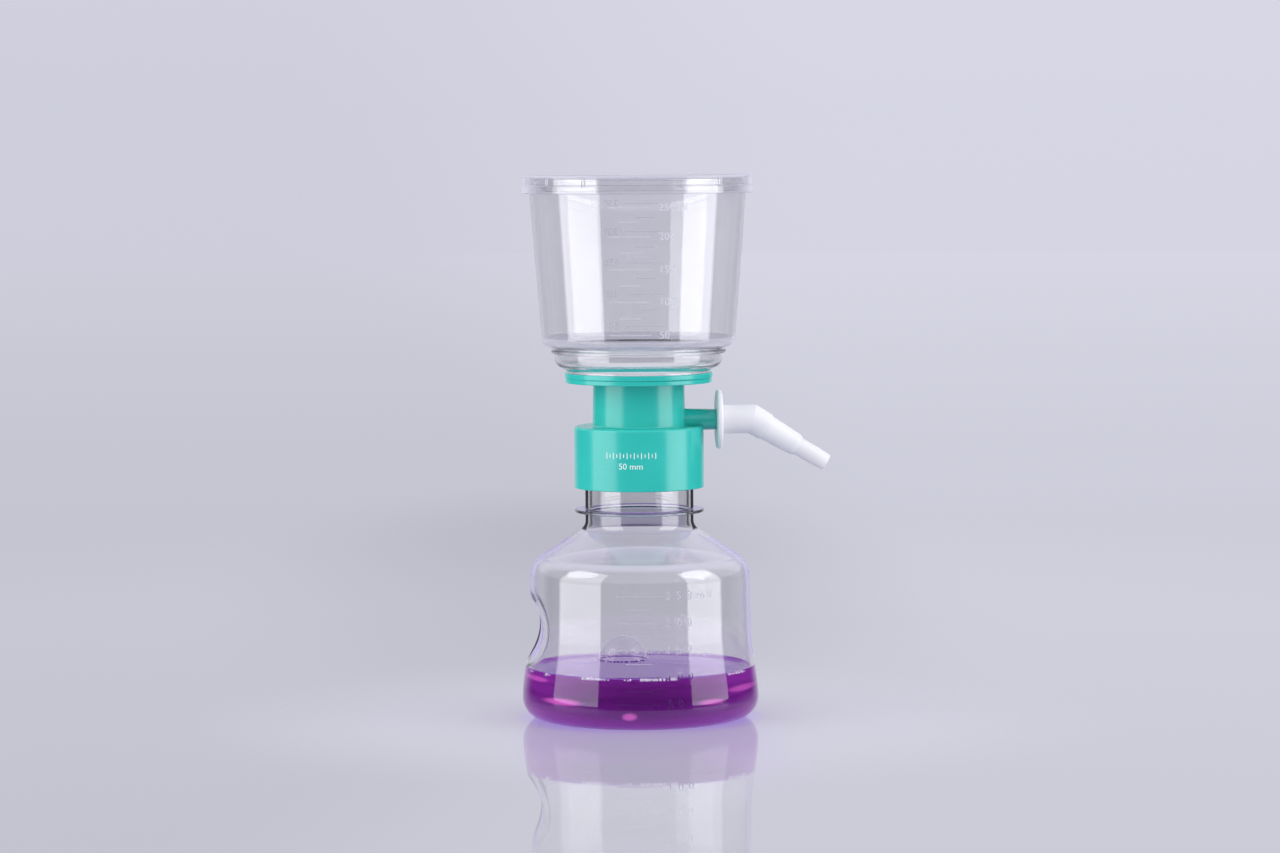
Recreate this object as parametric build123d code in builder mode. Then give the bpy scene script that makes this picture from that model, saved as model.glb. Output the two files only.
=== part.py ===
"""Bottle-top vacuum filtration unit.

Millimetres, +Z up. The origin is on the bottle's axis, in the plane that the unit stands on, and +X is the
side of the vacuum port. A filter funnel is welded to an adapter, whose threaded collar screws on to the
bottle's neck. Heights stack upwards from the bottle, so that a taller bottle lifts everything above it.
"""

from build123d import *
from math import cos, radians, sin, tan
import os

# --- clearances -------------------------------------------------------------------------------------------
slip_gap = 0.3  # between curved faces that turn or slide past each other
swivel_gap = 0.05  # radial, between the port and the connector's socket
plug_gap = 0.03  # radial, round the plug in the port's bore
membrane_room = 0.15  # radial, between the membrane and the edge of its recess

# --- roundings shared by several edges --------------------------------------------------------------------
edge_round = 0.3
bead_round = 0.5
web_round = 1.0  # in the adapter's drain

# --- bottle -----------------------------------------------------------------------------------------------
bottle_wall = 1.5
body_r = 44.25  # widest radius, just above the heel
body_taper = 2.75  # lost between the foot of the flare and its head
shoulder_taper = 0.5  # lost between the flare's head and the shoulder
heel_round = 8.0
flare_foot_z = 11.0
flare_head_z = 31.0
flare_round = 40.0
shoulder_round = 9.0
shoulder_slope = 33.5  # degrees below level
shoulder_head_z = 72.0  # where the slope meets the neck
neck_r = 20.2
neck_root_round = 3.5
neck_h = 33.5
foot_width = 5.7  # of the flat ring that the bottle stands on
foot_lift = 1.8  # of the base inside that ring
ring_reach = 4.0  # of the thin ring round the neck
ring_t = 1.2
ring_drop = 27.0  # from the rim to the ring's top

# --- finger grip: a level groove pressed across the bottle's side at -X -----------------------------------
grip_z = 34.5
grip_depth = 4.4
grip_r = 17.2
grip_round = 4.0

# --- filtrate ---------------------------------------------------------------------------------------------
liquid_z = 19.7

# --- screw thread, single start, right-handed -------------------------------------------------------------
pitch = 4.0
thread_depth = 2.0
thread_root = 1.9  # width of the ridge at its root
thread_crest = 1.0
thread_sink = 0.25  # how far the ridge is rooted in the wall that it stands on
neck_turns = 1.5
collar_turns = 1.25
thread_drop = 12.5  # from the bottle's rim down to where the neck's thread starts

# --- neck seal --------------------------------------------------------------------------------------------
seal_t = 1.5
seal_lap = 0.7  # how far it reaches past the rim, inwards and outwards

# --- adapter ----------------------------------------------------------------------------------------------
collar_wall = 1.7
collar_h = 23.0
collar_round = 1.0
ceiling_t = 2.5
stem_r = 17.35
stem_draft = 0.25
stem_wall = 1.6
stem_h = 16.3
stem_foot_round = 0.6
flange_inset = 0.3  # of the flange's edge from the support's
flange_t = 1.8
drain_inset = 1.0  # of the drain's wall from the membrane's edge
drain_t = 1.2  # floor of the drain where it overhangs the stem
drain_fall = 4.6  # from the drain's edge to the spout's mouth, inside the stem
spout_r = 3.2  # bore
spout_wall = 1.6
spout_below = 7.0  # how far the spout hangs below the ceiling

# --- vacuum port ------------------------------------------------------------------------------------------
port_floor = 0.45  # between the adapter's ceiling and the port's root
port_r = 3.85
port_draft = 0.3  # gained on the radius at the port's root
port_wall = 1.1
port_taper_x = 28.2  # where the draft ends
port_straight = 10.3
port_chamfer = 0.5
plug_sunk = 4.5  # from the port's end
plug_len = 8.0

# --- hose connector ---------------------------------------------------------------------------------------
disc_r = 11.05
disc_t = 2.1
disc_gap = 0.7  # from the end of the port's draft
socket_wall = 1.45
socket_room = 0.5  # beyond the port's end
elbow_reach = 3.9  # from the port's end
elbow_turn = 31.0  # degrees below level
bore_bend = 8.0
sleeve_inset = 0.1
sleeve_len = 6.1
large_barb_r = 4.85
large_barb_tip_r = 4.2
large_barb_len = 14.3
small_barb_r = 3.4
small_barb_tip_r = 3.2
small_barb_len = 7.3
barb_nose_len = 4.7
barb_chamfer = 1.5
hose_bore_r = 2.2
bore_lap = 0.5  # of the hose bore's start inside the socket

# --- membrane and its support -----------------------------------------------------------------------------
membrane_r = 25.0
membrane_t = 0.2
plate_edge = 2.6  # from the membrane's edge to the support's
plate_t = 1.9
slot_w = 1.6
slot_pitch = 3.4
slot_first_r = 4.6
slot_rings = 6
spoke_w = 1.8
spokes = 6

# --- funnel -----------------------------------------------------------------------------------------------
cup_wall = 1.5
seat_lap = 1.4  # of the seat over the membrane
seat_w = 3.2
seat_t = 0.8
bowl_reach = 4.5  # from the seat's edge to the bowl's
bowl_rise = 2.4  # of the bowl's sloping floor
bowl_h = 7.4
bowl_round = 3.5
bead_proud = 1.4
bead_h = 1.3
bead_gap = 0.8
cup_reach = 4.55  # from the bowl's wall to the foot of the cup's
cup_flare = 4.95  # gained from the cup's foot to its lip
cup_h = 63.0
cup_round = 3.5
lip_proud = 0.6
lip_h = 2.5

# --- lid --------------------------------------------------------------------------------------------------
lid_t = 1.4
lid_round = 0.9
skirt_h = 5.6
skirt_wall = 1.4
skirt_step = 0.35
band_h = 3.0  # of the wider band at the skirt's foot
rib_pairs = 15
rib_turn = -6.2  # degrees, from -Y to the nearest pair, anticlockwise from above
rib_apart = 0.95
rib_w = 0.4
rib_h = 3.4

# --- heights and radii that follow ------------------------------------------------------------------------
rim_z = shoulder_head_z + neck_h
ring_z = rim_z - ring_drop
ceiling_z = rim_z + seal_t
collar_top_z = ceiling_z + ceiling_t
collar_foot_z = collar_top_z - collar_h
collar_in_r = neck_r + thread_depth + slip_gap
collar_r = collar_in_r + collar_wall
stem_top_z = collar_top_z + stem_h
stem_in_r = stem_r - stem_wall
flange_z = stem_top_z + flange_t
plate_z = flange_z + plate_t
spout_mouth_z = stem_top_z - drain_fall
port_z = ceiling_z + port_floor + port_draft + port_r
port_end_x = port_taper_x + port_straight
port_bore_r = port_r - port_wall
disc_x = port_taper_x + disc_gap
socket_r = port_r + swivel_gap
socket_end_x = port_end_x + socket_room
barrel_r = socket_r + socket_wall
sleeve_r = barrel_r - sleeve_inset
elbow_x = port_end_x + elbow_reach
plate_r = membrane_r + plate_edge
flange_r = plate_r - flange_inset
drain_r = membrane_r - drain_inset
seat_bore_r = membrane_r - seat_lap
seat_r = seat_bore_r + seat_w
bowl_r = seat_r + bowl_reach
bead_r = bowl_r + bead_proud
cup_foot_r = bowl_r + cup_reach
cup_r = cup_foot_r + cup_flare
lip_r = cup_r + lip_proud
skirt_in_r = lip_r + slip_gap
skirt_r = skirt_in_r + skirt_wall
ring_r = neck_r + ring_reach
bowl_z = plate_z + seat_t
bead_z = plate_z + bowl_h
cup_z = bead_z + bead_h + bead_gap
lip_z = cup_z + cup_h
lid_z = lip_z + lid_t
flare_head_r = body_r - body_taper
shoulder_r = flare_head_r - shoulder_taper


def outline(*corners):
    """Draw a closed outline from (x, y, rounding) corners, inside a line builder."""
    FilletPolyline(*[(x, y) for x, y, _ in corners], radius=[c[2] for c in corners], close=True)


def turned(*corners, plane=Plane.XZ, axis=Axis.Z, mode=Mode.ADD):
    """Turn an outline of (radius, height, rounding) corners about an axis, inside a part builder."""
    with BuildSketch(plane) as profile:
        with BuildLine():
            outline(*corners)
        make_face()
    revolve(profile.sketch, axis=axis, mode=mode)


def slope_z(radius, skin):
    """Height of the shoulder's slope at a radius, for a surface that lies skin inside the outer one."""
    fall = (radius - neck_r) * tan(radians(shoulder_slope))
    return shoulder_head_z - fall - skin / cos(radians(shoulder_slope))


def bottle_body(skin, top_z):
    """Turn the bottle's outer shape, shrunk by skin all round and closed off at top_z."""
    foot_out_r = body_r - heel_round
    foot_in_r = foot_out_r - foot_width
    turned(
        (0, foot_lift + skin, 0),
        (foot_in_r - 2 * foot_lift, foot_lift + skin, 0),
        (foot_in_r, skin, 0),
        (body_r - skin, skin, heel_round - skin),
        (body_r - skin, flare_foot_z, flare_round),
        (flare_head_r - skin, flare_head_z, flare_round),
        (shoulder_r - skin, slope_z(shoulder_r - skin, skin), shoulder_round - skin),
        (neck_r - skin, slope_z(neck_r - skin, skin), neck_root_round + skin),
        (neck_r - skin, top_z, 0),
        (0, top_z, 0),
    )


def finger_grip(skin):
    """Press the finger grip into the body, for a surface that lies skin inside the outer one."""
    middle = (-(flare_head_r - grip_depth + grip_r), 0, grip_z)
    with Locations(Location(middle, (90, 0, 0))):
        Cylinder(grip_r + skin, 3 * body_r, mode=Mode.SUBTRACT)
    fillet(edges(Select.NEW), grip_round - skin)


def thread(root_r, start_z, turns, height, start_angle=0):
    """Add a helical ridge that stands height proud of root_r: inwards where height is negative."""
    side = 1 if height > 0 else -1
    with BuildLine() as path:
        Helix(pitch=pitch, height=pitch * turns, radius=root_r, center=(0, 0, start_z))
    spin = Rotation(0, 0, start_angle)
    course = spin * path.line
    foot = Plane(origin=course @ 0, x_dir=(cos(radians(start_angle)), sin(radians(start_angle)), 0),
                 z_dir=course % 0)
    with BuildSketch(foot) as ridge:
        with BuildLine():
            Polyline(
                (-side * thread_sink, -thread_root / 2),
                (height, -thread_crest / 2),
                (height, thread_crest / 2),
                (-side * thread_sink, thread_root / 2),
                close=True,
            )
        make_face()
    sweep(ridge.sketch, path=course, is_frenet=True)


# --- bottle -----------------------------------------------------------------------------------------------
with BuildPart() as cavity:
    bottle_body(bottle_wall, rim_z + 1)
    finger_grip(bottle_wall)

with BuildPart() as bottle:
    bottle_body(0, rim_z)
    finger_grip(0)
    turned(
        (neck_r - bottle_wall / 2, ring_z - ring_t, 0),
        (ring_r, ring_z - ring_t, ring_t * 0.45),
        (ring_r, ring_z, ring_t * 0.45),
        (neck_r - bottle_wall / 2, ring_z, 0),
    )
    thread(neck_r, rim_z - thread_drop, neck_turns, thread_depth)
    add(cavity.part, mode=Mode.SUBTRACT)

with BuildPart() as liquid:
    add(cavity.part)
    split(bisect_by=Plane.XY.offset(liquid_z), keep=Keep.BOTTOM)

# --- neck seal --------------------------------------------------------------------------------------------
with BuildPart() as neck_seal:
    with BuildSketch(Plane.XY.offset(rim_z)):
        Circle(neck_r + seal_lap)
        Circle(neck_r - bottle_wall - seal_lap, mode=Mode.SUBTRACT)
    extrude(amount=seal_t)

# --- adapter ----------------------------------------------------------------------------------------------
port_plane = Plane(origin=(0, 0, port_z), x_dir=(1, 0, 0), z_dir=(0, -1, 0))
port_axis = Axis((0, 0, port_z), (1, 0, 0))

with BuildPart() as adapter:
    spout_out_r = spout_r + spout_wall
    stem_top_r = stem_r - stem_draft
    cone_t = spout_wall * 1.2
    turned(
        (collar_in_r, collar_foot_z, 0),
        (collar_r, collar_foot_z, edge_round),
        (collar_r, collar_top_z, collar_round),
        (stem_r, collar_top_z, stem_foot_round),
        (stem_top_r, stem_top_z, edge_round),
        (flange_r, stem_top_z, edge_round),
        (flange_r, flange_z, edge_round),
        (drain_r, flange_z, 0),
        (drain_r, stem_top_z + drain_t, 0),
        (stem_in_r, stem_top_z + drain_t * 0.8, web_round),
        (spout_r, spout_mouth_z, web_round),
        (spout_r, ceiling_z - spout_below, 0),
        (spout_out_r, ceiling_z - spout_below, edge_round),
        (spout_out_r, spout_mouth_z - cone_t, web_round),
        (stem_in_r, stem_top_z - drain_t, web_round),
        (stem_in_r, ceiling_z, edge_round),
        (collar_in_r, ceiling_z, edge_round),
    )
    thread(collar_in_r, rim_z - thread_drop, collar_turns, -thread_depth, start_angle=180)
    turned(
        (stem_r - stem_wall / 2, 0, 0),
        (port_end_x, 0, 0),
        (port_end_x, port_r - port_chamfer, 0),
        (port_end_x - port_chamfer, port_r, 0),
        (port_taper_x, port_r, 0),
        (stem_r - stem_wall / 2, port_r + port_draft, 0),
        plane=port_plane,
        axis=port_axis,
    )
    with BuildSketch(Plane.YZ.offset(stem_in_r - stem_wall)):
        with Locations((0, port_z)):
            Circle(port_bore_r)
    extrude(amount=port_end_x - stem_in_r + 2 * stem_wall, mode=Mode.SUBTRACT)

# --- plug in the port -------------------------------------------------------------------------------------
with BuildPart() as port_plug:
    with BuildSketch(Plane.YZ.offset(port_end_x - plug_sunk - plug_len)):
        with Locations((0, port_z)):
            Circle(port_bore_r - plug_gap)
    extrude(amount=plug_len)

# --- hose connector ---------------------------------------------------------------------------------------
barb_dir = Vector(cos(radians(elbow_turn)), 0, -sin(radians(elbow_turn)))
elbow = Vector(elbow_x, 0, port_z)
barb_plane = Plane(origin=elbow, x_dir=barb_dir, z_dir=(0, -1, 0))
barb_axis = Axis(elbow, barb_dir)
large_barb_x = sleeve_len + large_barb_len
small_barb_x = large_barb_x + small_barb_len
barb_len = small_barb_x + barb_nose_len

with BuildPart() as hose_connector:
    with BuildLine() as bend:
        Polyline((disc_x, 0, port_z), elbow, elbow + barb_dir * (sleeve_len / 2))
    with BuildSketch(Plane.YZ.offset(disc_x)):
        with Locations((0, port_z)):
            Circle(barrel_r)
    sweep(path=bend.line, transition=Transition.RIGHT)
    turned(
        (disc_x, 0, 0),
        (disc_x, disc_r, disc_t * 0.4),
        (disc_x + disc_t, disc_r, disc_t * 0.4),
        (disc_x + disc_t, barrel_r, edge_round),
        (disc_x + 2 * disc_t, barrel_r, 0),
        (disc_x + 2 * disc_t, 0, 0),
        plane=port_plane,
        axis=port_axis,
    )
    turned(
        (sleeve_len / 2, 0, 0),
        (sleeve_len / 2, sleeve_r, 0),
        (sleeve_len, sleeve_r, edge_round),
        (sleeve_len, large_barb_r, 0),
        (large_barb_x - barb_chamfer, large_barb_tip_r, edge_round),
        (large_barb_x, small_barb_r, 0),
        (small_barb_x, small_barb_r, 0),
        (barb_len, small_barb_tip_r, edge_round),
        (barb_len, 0, 0),
        plane=barb_plane,
        axis=barb_axis,
    )
    with BuildSketch(Plane.YZ.offset(disc_x)):
        with Locations((0, port_z)):
            Circle(socket_r)
    extrude(amount=socket_end_x - disc_x, mode=Mode.SUBTRACT)
    bore_start = (socket_end_x - bore_lap, 0, port_z)
    with BuildLine() as channel:
        FilletPolyline(bore_start, elbow, elbow + barb_dir * (barb_len + bore_lap), radius=bore_bend)
    with BuildSketch(Plane.YZ.offset(socket_end_x - bore_lap)):
        with Locations((0, port_z)):
            Circle(hose_bore_r)
    sweep(path=channel.line, mode=Mode.SUBTRACT)

# --- membrane and its support -----------------------------------------------------------------------------
membrane_z = plate_z - membrane_t

with BuildPart() as membrane:
    with BuildSketch(Plane.XY.offset(membrane_z)):
        Circle(membrane_r)
    extrude(amount=membrane_t)

with BuildPart() as membrane_support:
    turned(
        (0, flange_z, 0),
        (plate_r, flange_z, edge_round),
        (plate_r, plate_z, edge_round),
        (membrane_r + membrane_room, plate_z, 0),
        (membrane_r + membrane_room, membrane_z, 0),
        (0, membrane_z, 0),
    )
    with BuildSketch(Plane.XY.offset(flange_z)):
        for ring in range(slot_rings):
            middle_r = slot_first_r + ring * slot_pitch
            Circle(middle_r + slot_w / 2)
            Circle(middle_r - slot_w / 2, mode=Mode.SUBTRACT)
        with PolarLocations(membrane_r / 2, spokes):
            Rectangle(membrane_r, spoke_w, mode=Mode.SUBTRACT)
    extrude(amount=plate_t, mode=Mode.SUBTRACT)

# --- funnel -----------------------------------------------------------------------------------------------
with BuildPart() as funnel:
    lean = (cup_r - cup_foot_r) / cup_h
    turned(
        (seat_bore_r, plate_z, 0),
        (seat_r, plate_z, 0),
        (seat_r, bowl_z, edge_round),
        (bowl_r, bowl_z + bowl_rise, bowl_round),
        (bowl_r, bead_z, edge_round),
        (bead_r, bead_z, bead_round),
        (bead_r, bead_z + bead_h, bead_round),
        (bowl_r, bead_z + bead_h, edge_round),
        (bowl_r, cup_z, edge_round),
        (cup_foot_r, cup_z, cup_round),
        (cup_r - lean * lip_h, lip_z - lip_h, edge_round / 2),
        (lip_r, lip_z - lip_h, edge_round),
        (lip_r, lip_z, edge_round),
        (cup_r - cup_wall, lip_z, edge_round),
        (cup_foot_r - cup_wall, cup_z + cup_wall, cup_round - cup_wall),
        (bowl_r - cup_wall, cup_z + cup_wall, bead_round),
        (bowl_r - cup_wall, bowl_z + bowl_rise + cup_wall / 2, bowl_round - cup_wall),
        (seat_bore_r, bowl_z + cup_wall * 0.7, bead_round),
    )

# --- lid --------------------------------------------------------------------------------------------------
with BuildPart() as lid:
    skirt_foot_z = lip_z - skirt_h
    band_z = skirt_foot_z + band_h
    upper_r = skirt_r - skirt_step
    turned(
        (0, lip_z, 0),
        (skirt_in_r, lip_z, edge_round),
        (skirt_in_r, skirt_foot_z, 0),
        (skirt_r, skirt_foot_z, edge_round),
        (skirt_r, band_z, skirt_step / 2),
        (upper_r, band_z, skirt_step / 3),
        (upper_r, lid_z, lid_round),
        (0, lid_z, 0),
    )
    with BuildSketch(Plane.XY.offset(band_z)):
        with PolarLocations(upper_r, rib_pairs, start_angle=rib_turn - 90):
            with GridLocations(0, rib_apart, 1, 2):
                Rectangle(skirt_step * 2, rib_w)
    extrude(amount=rib_h)

# --- files ------------------------------------------------------------------------------------------------
pieces = {
    "bottle": bottle,
    "liquid": liquid,
    "neck_seal": neck_seal,
    "adapter": adapter,
    "port_plug": port_plug,
    "hose_connector": hose_connector,
    "membrane": membrane,
    "membrane_support": membrane_support,
    "funnel": funnel,
    "lid": lid,
}
os.makedirs("parts", exist_ok=True)
for name, piece in pieces.items():
    piece.part.label = name
    export_step(piece.part, f"parts/{name}.step")
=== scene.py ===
"""A bottle-top vacuum filtration unit on a pale glossy table.

A clear lidded funnel is welded to a green adapter, which screws on to the neck of a clear bottle. The
bottle holds a little violet filtrate, and a white hose connector sits on the adapter's vacuum port. Sizes
are given in millimetres, as a maker would write them, and every mesh is in metres, in the CAD model's
frame: Z up, the origin under the bottle's axis, and the port towards +X. An azimuth of 0 is the -Y side,
and it grows towards +X.
"""

import logging
import math
import random
from contextlib import contextmanager
from dataclasses import dataclass, field
from enum import Enum
from functools import reduce
from typing import Callable, Iterator, Optional, Sequence, Union

import bmesh
import bpy
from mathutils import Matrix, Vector


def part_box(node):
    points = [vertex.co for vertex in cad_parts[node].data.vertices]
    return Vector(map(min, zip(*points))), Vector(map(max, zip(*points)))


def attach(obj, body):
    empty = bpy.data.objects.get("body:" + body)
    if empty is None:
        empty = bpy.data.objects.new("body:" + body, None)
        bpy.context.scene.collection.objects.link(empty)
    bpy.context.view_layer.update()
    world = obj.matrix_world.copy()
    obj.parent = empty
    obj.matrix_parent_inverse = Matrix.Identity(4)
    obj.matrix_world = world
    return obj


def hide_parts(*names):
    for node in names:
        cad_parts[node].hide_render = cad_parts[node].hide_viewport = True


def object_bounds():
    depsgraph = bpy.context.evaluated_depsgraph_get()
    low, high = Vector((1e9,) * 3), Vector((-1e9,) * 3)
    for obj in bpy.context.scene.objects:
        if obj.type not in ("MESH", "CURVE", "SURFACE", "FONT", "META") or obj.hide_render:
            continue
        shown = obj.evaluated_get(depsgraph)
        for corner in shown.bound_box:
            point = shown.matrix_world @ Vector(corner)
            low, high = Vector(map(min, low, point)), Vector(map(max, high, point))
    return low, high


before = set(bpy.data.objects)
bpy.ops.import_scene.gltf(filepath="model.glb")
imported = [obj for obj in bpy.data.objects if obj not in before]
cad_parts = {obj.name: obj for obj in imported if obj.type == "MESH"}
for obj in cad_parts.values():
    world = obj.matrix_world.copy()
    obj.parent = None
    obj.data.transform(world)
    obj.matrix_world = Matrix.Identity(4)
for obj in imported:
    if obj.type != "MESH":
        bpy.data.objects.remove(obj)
CAD_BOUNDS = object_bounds()

LOG = logging.getLogger("filtration_unit")
MM = 0.001
FRONT = -3.0  # azimuth that the unit is seen from, in degrees
SPIN_STEPS = 256
THREAD_STEPS = 144
FINE_EDGE = 0.8  # the longest edge in millimetres where a wall is pressed in
DIGIT_SHARE = 0.72  # a digit's height in the built-in font, as a share of its size
MERGE_DISTANCE = 1e-7
SAME_PLACE = 1e-6
# the sharpest turns that are shaded smooth
CREASE_ANGLE = math.radians(32)
MARK_ANGLE = math.radians(30)
LIQUID_ANGLE = math.radians(50)
BUBBLE_ANGLE = math.radians(60)
BEAD_ANGLE = math.radians(80)

Colour = tuple[float, float, float]
Piece = bpy.types.Object
Material = bpy.types.Material
Socket = bpy.types.NodeSocket
Value = Union[float, Colour, Vector, Socket]
Values = dict[Union[str, int], Value]
Element = Union[bmesh.types.BMVert, bmesh.types.BMEdge, bmesh.types.BMFace]


class Kind(Enum):
    """What is selected in edit mode."""

    VERT = "VERT"
    EDGE = "EDGE"
    FACE = "FACE"


# --- hand tools -----------------------------------------------------------------------------------


def deselect() -> None:
    """Leave nothing selected."""
    bpy.ops.object.select_all(action="DESELECT")


def hold(piece: Piece) -> None:
    """Select one piece alone and make it the active one.

    Args:
        piece: The piece.
    """
    deselect()
    piece.hide_set(False)
    piece.select_set(True)
    bpy.context.view_layer.objects.active = piece


def christen(name: str) -> Piece:
    """Name the newest object and its mesh, and put its place into its mesh.

    Args:
        name: The piece's name.

    Returns:
        The object, at the origin, unturned and unscaled.
    """
    piece = bpy.context.object
    piece.name = piece.data.name = name
    bpy.ops.object.transform_apply(location=True, rotation=True, scale=True)
    return piece


@contextmanager
def editing(piece: Piece, kind: Kind = Kind.VERT) -> Iterator[None]:
    """Open a piece in edit mode with nothing selected, and leave edit mode again.

    Args:
        piece: The mesh object to work on.
        kind: What the select mode is set to.

    Yields:
        Nothing, while the piece is open.
    """
    hold(piece)
    bpy.ops.object.mode_set(mode="EDIT")
    bpy.ops.mesh.select_mode(type=kind.value)
    bpy.ops.mesh.select_all(action="DESELECT")
    yield
    bpy.ops.object.mode_set(mode="OBJECT")


def choose(piece: Piece, kind: Kind, test: Callable[[Element], bool]) -> int:
    """In edit mode, select the elements that pass a test, and no others.

    Args:
        piece: The mesh object that is open in edit mode.
        kind: Whether vertices, edges or faces are tested.
        test: Takes an element.

    Returns:
        How many elements are selected.
    """
    bpy.ops.mesh.select_mode(type=kind.value)
    bpy.ops.mesh.select_all(action="DESELECT")
    mesh = bmesh.from_edit_mesh(piece.data)
    count = 0
    for element in {Kind.VERT: mesh.verts, Kind.EDGE: mesh.edges, Kind.FACE: mesh.faces}[kind]:
        element.select = test(element)
        count += element.select
    mesh.select_flush_mode()
    bmesh.update_edit_mesh(piece.data)
    return count


def pick(piece: Piece, kind: Kind, test: Callable[[Vector], bool]) -> int:
    """In edit mode, select the elements whose middle passes a test, and no others.

    Args:
        piece: The mesh object that is open in edit mode.
        kind: Whether vertices, edges or faces are tested.
        test: Takes the middle of an element, in metres.

    Returns:
        How many elements are selected.
    """

    def passes(element: Element) -> bool:
        """True where the element's middle passes."""
        corners = [element] if kind is Kind.VERT else list(element.verts)
        return test(sum((corner.co for corner in corners), Vector()) / len(corners))

    return choose(piece, kind, passes)


def seal() -> None:
    """In edit mode, merge what touches and turn every face outwards."""
    bpy.ops.mesh.select_all(action="SELECT")
    bpy.ops.mesh.remove_doubles(threshold=MERGE_DISTANCE)
    bpy.ops.mesh.normals_make_consistent(inside=False)


def modify(piece: Piece, kind: str, **settings: object) -> None:
    """Add a modifier to a piece and apply it.

    Args:
        piece: The mesh object.
        kind: Blender's name for the type of modifier.
        **settings: The modifier's own settings.
    """
    hold(piece)
    modifier = piece.modifiers.new(kind.title(), kind)
    for name, value in settings.items():
        setattr(modifier, name, value)
    bpy.ops.object.modifier_apply(modifier=modifier.name)


def smooth(piece: Piece, angle: float = CREASE_ANGLE) -> Piece:
    """Shade a finished piece smooth, with creases at its sharp edges.

    Args:
        piece: The finished piece.
        angle: The sharpest turn that is shaded smooth, in radians.

    Returns:
        The piece.
    """
    hold(piece)
    bpy.ops.object.shade_smooth_by_angle(angle=angle)
    modify(piece, "WEIGHTED_NORMAL", keep_sharp=True)
    return piece


def unite(pieces: Sequence[Piece], name: str) -> Piece:
    """Join several pieces into one object.

    Args:
        pieces: The pieces, of which the first takes in the others.
        name: The joined piece's name.

    Returns:
        The joined object.
    """
    hold(pieces[0])
    for piece in pieces[1:]:
        piece.select_set(True)
    bpy.ops.object.join()
    return christen(name)


def direction(azimuth: float) -> Vector:
    """The level direction that an azimuth in degrees stands for."""
    turn = math.radians(azimuth)
    return Vector((math.sin(turn), -math.cos(turn), 0.0))


def is_long(edge: Element, low: float, high: float, longest: float) -> bool:
    """True for an edge within a height range that is longer than a length."""
    heights = [vert.co.z for vert in edge.verts]
    return edge.calc_length() > longest and max(heights) > low and min(heights) < high


# --- turned pieces --------------------------------------------------------------------------------


@dataclass(frozen=True)
class Corner:
    """One corner of a turned outline, in millimetres: radius, height, and the rounding there."""

    radius: float
    height: float
    rounding: float = 0.0

    @property
    def place(self) -> Vector:
        """The corner's place in the outline's plane, in metres."""
        return Vector((self.radius, 0.0, self.height)) * MM


@dataclass(frozen=True)
class Turned:
    """A piece that is drawn as an outline beside the Z axis and spun round it.

    Attributes:
        corners: The outline's corners in order.
        closed: True for an outline that doesn't end on the axis.
        steps: How many steps the spin has.
        fine: Height ranges in millimetres whose edges are cut finer, each with its longest edge.
        arc_degrees: How far one edge of a rounding turns at most.
    """

    corners: Sequence[Corner]
    closed: bool = False
    steps: int = SPIN_STEPS
    fine: Sequence[tuple[float, float, float]] = ()
    arc_degrees: float = 7.0

    def draw(self, name: str) -> Piece:
        """Draw the outline with its roundings, as a chain of edges.

        Args:
            name: The piece's name.

        Returns:
            The outline, which has edges and no faces.
        """
        first = self.corners[0].place
        deselect()
        bpy.ops.mesh.primitive_plane_add(size=MM, location=first)
        piece = christen(name)
        with editing(piece):
            bpy.ops.mesh.select_all(action="SELECT")
            bpy.ops.mesh.merge(type="CENTER")
            for last, corner in zip(self.corners, self.corners[1:]):
                move = {"value": corner.place - last.place}
                bpy.ops.mesh.extrude_region_move(TRANSFORM_OT_translate=move)
            if self.closed:
                ends = (first, self.corners[-1].place)
                pick(piece, Kind.VERT, lambda at: min((at - end).length for end in ends) < SAME_PLACE)
                bpy.ops.mesh.edge_face_add()
            self.round_corners(piece)
            self.cut_finer(piece)
        return piece

    def round_corners(self, piece: Piece) -> None:
        """Bevel each corner of the outline that has a rounding.

        Args:
            piece: The outline, open in edit mode.
        """
        count = len(self.corners)
        for index, corner in enumerate(self.corners):
            if not corner.rounding:
                continue
            before = self.corners[index - 1].place
            after = self.corners[(index + 1) % count].place
            turn = (corner.place - before).angle(after - corner.place)
            pick(piece, Kind.VERT, lambda at, place=corner.place: (at - place).length < SAME_PLACE)
            bpy.ops.mesh.bevel(
                offset=corner.rounding * MM * math.tan(turn / 2),
                segments=max(2, math.ceil(math.degrees(turn) / self.arc_degrees)),
                affect="VERTICES",
                clamp_overlap=False,
            )

    def cut_finer(self, piece: Piece) -> None:
        """Subdivide the outline's long edges within the fine height ranges.

        Args:
            piece: The outline, open in edit mode.
        """
        for low, high, longest in self.fine:
            zone = (low * MM, high * MM, longest * MM)
            while choose(piece, Kind.EDGE, lambda edge, zone=zone: is_long(edge, *zone)):
                bpy.ops.mesh.subdivide(number_cuts=1)

    def make(self, name: str) -> Piece:
        """Spin the outline into a closed skin with its faces outwards.

        Args:
            name: The piece's name.

        Returns:
            The spun piece, not yet shaded.
        """
        piece = self.draw(name)
        with editing(piece):
            bpy.ops.mesh.select_all(action="SELECT")
            bpy.ops.mesh.spin(steps=self.steps, angle=math.tau, center=(0, 0, 0), axis=(0, 0, 1))
            seal()
        return piece


# --- finishes -------------------------------------------------------------------------------------


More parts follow.
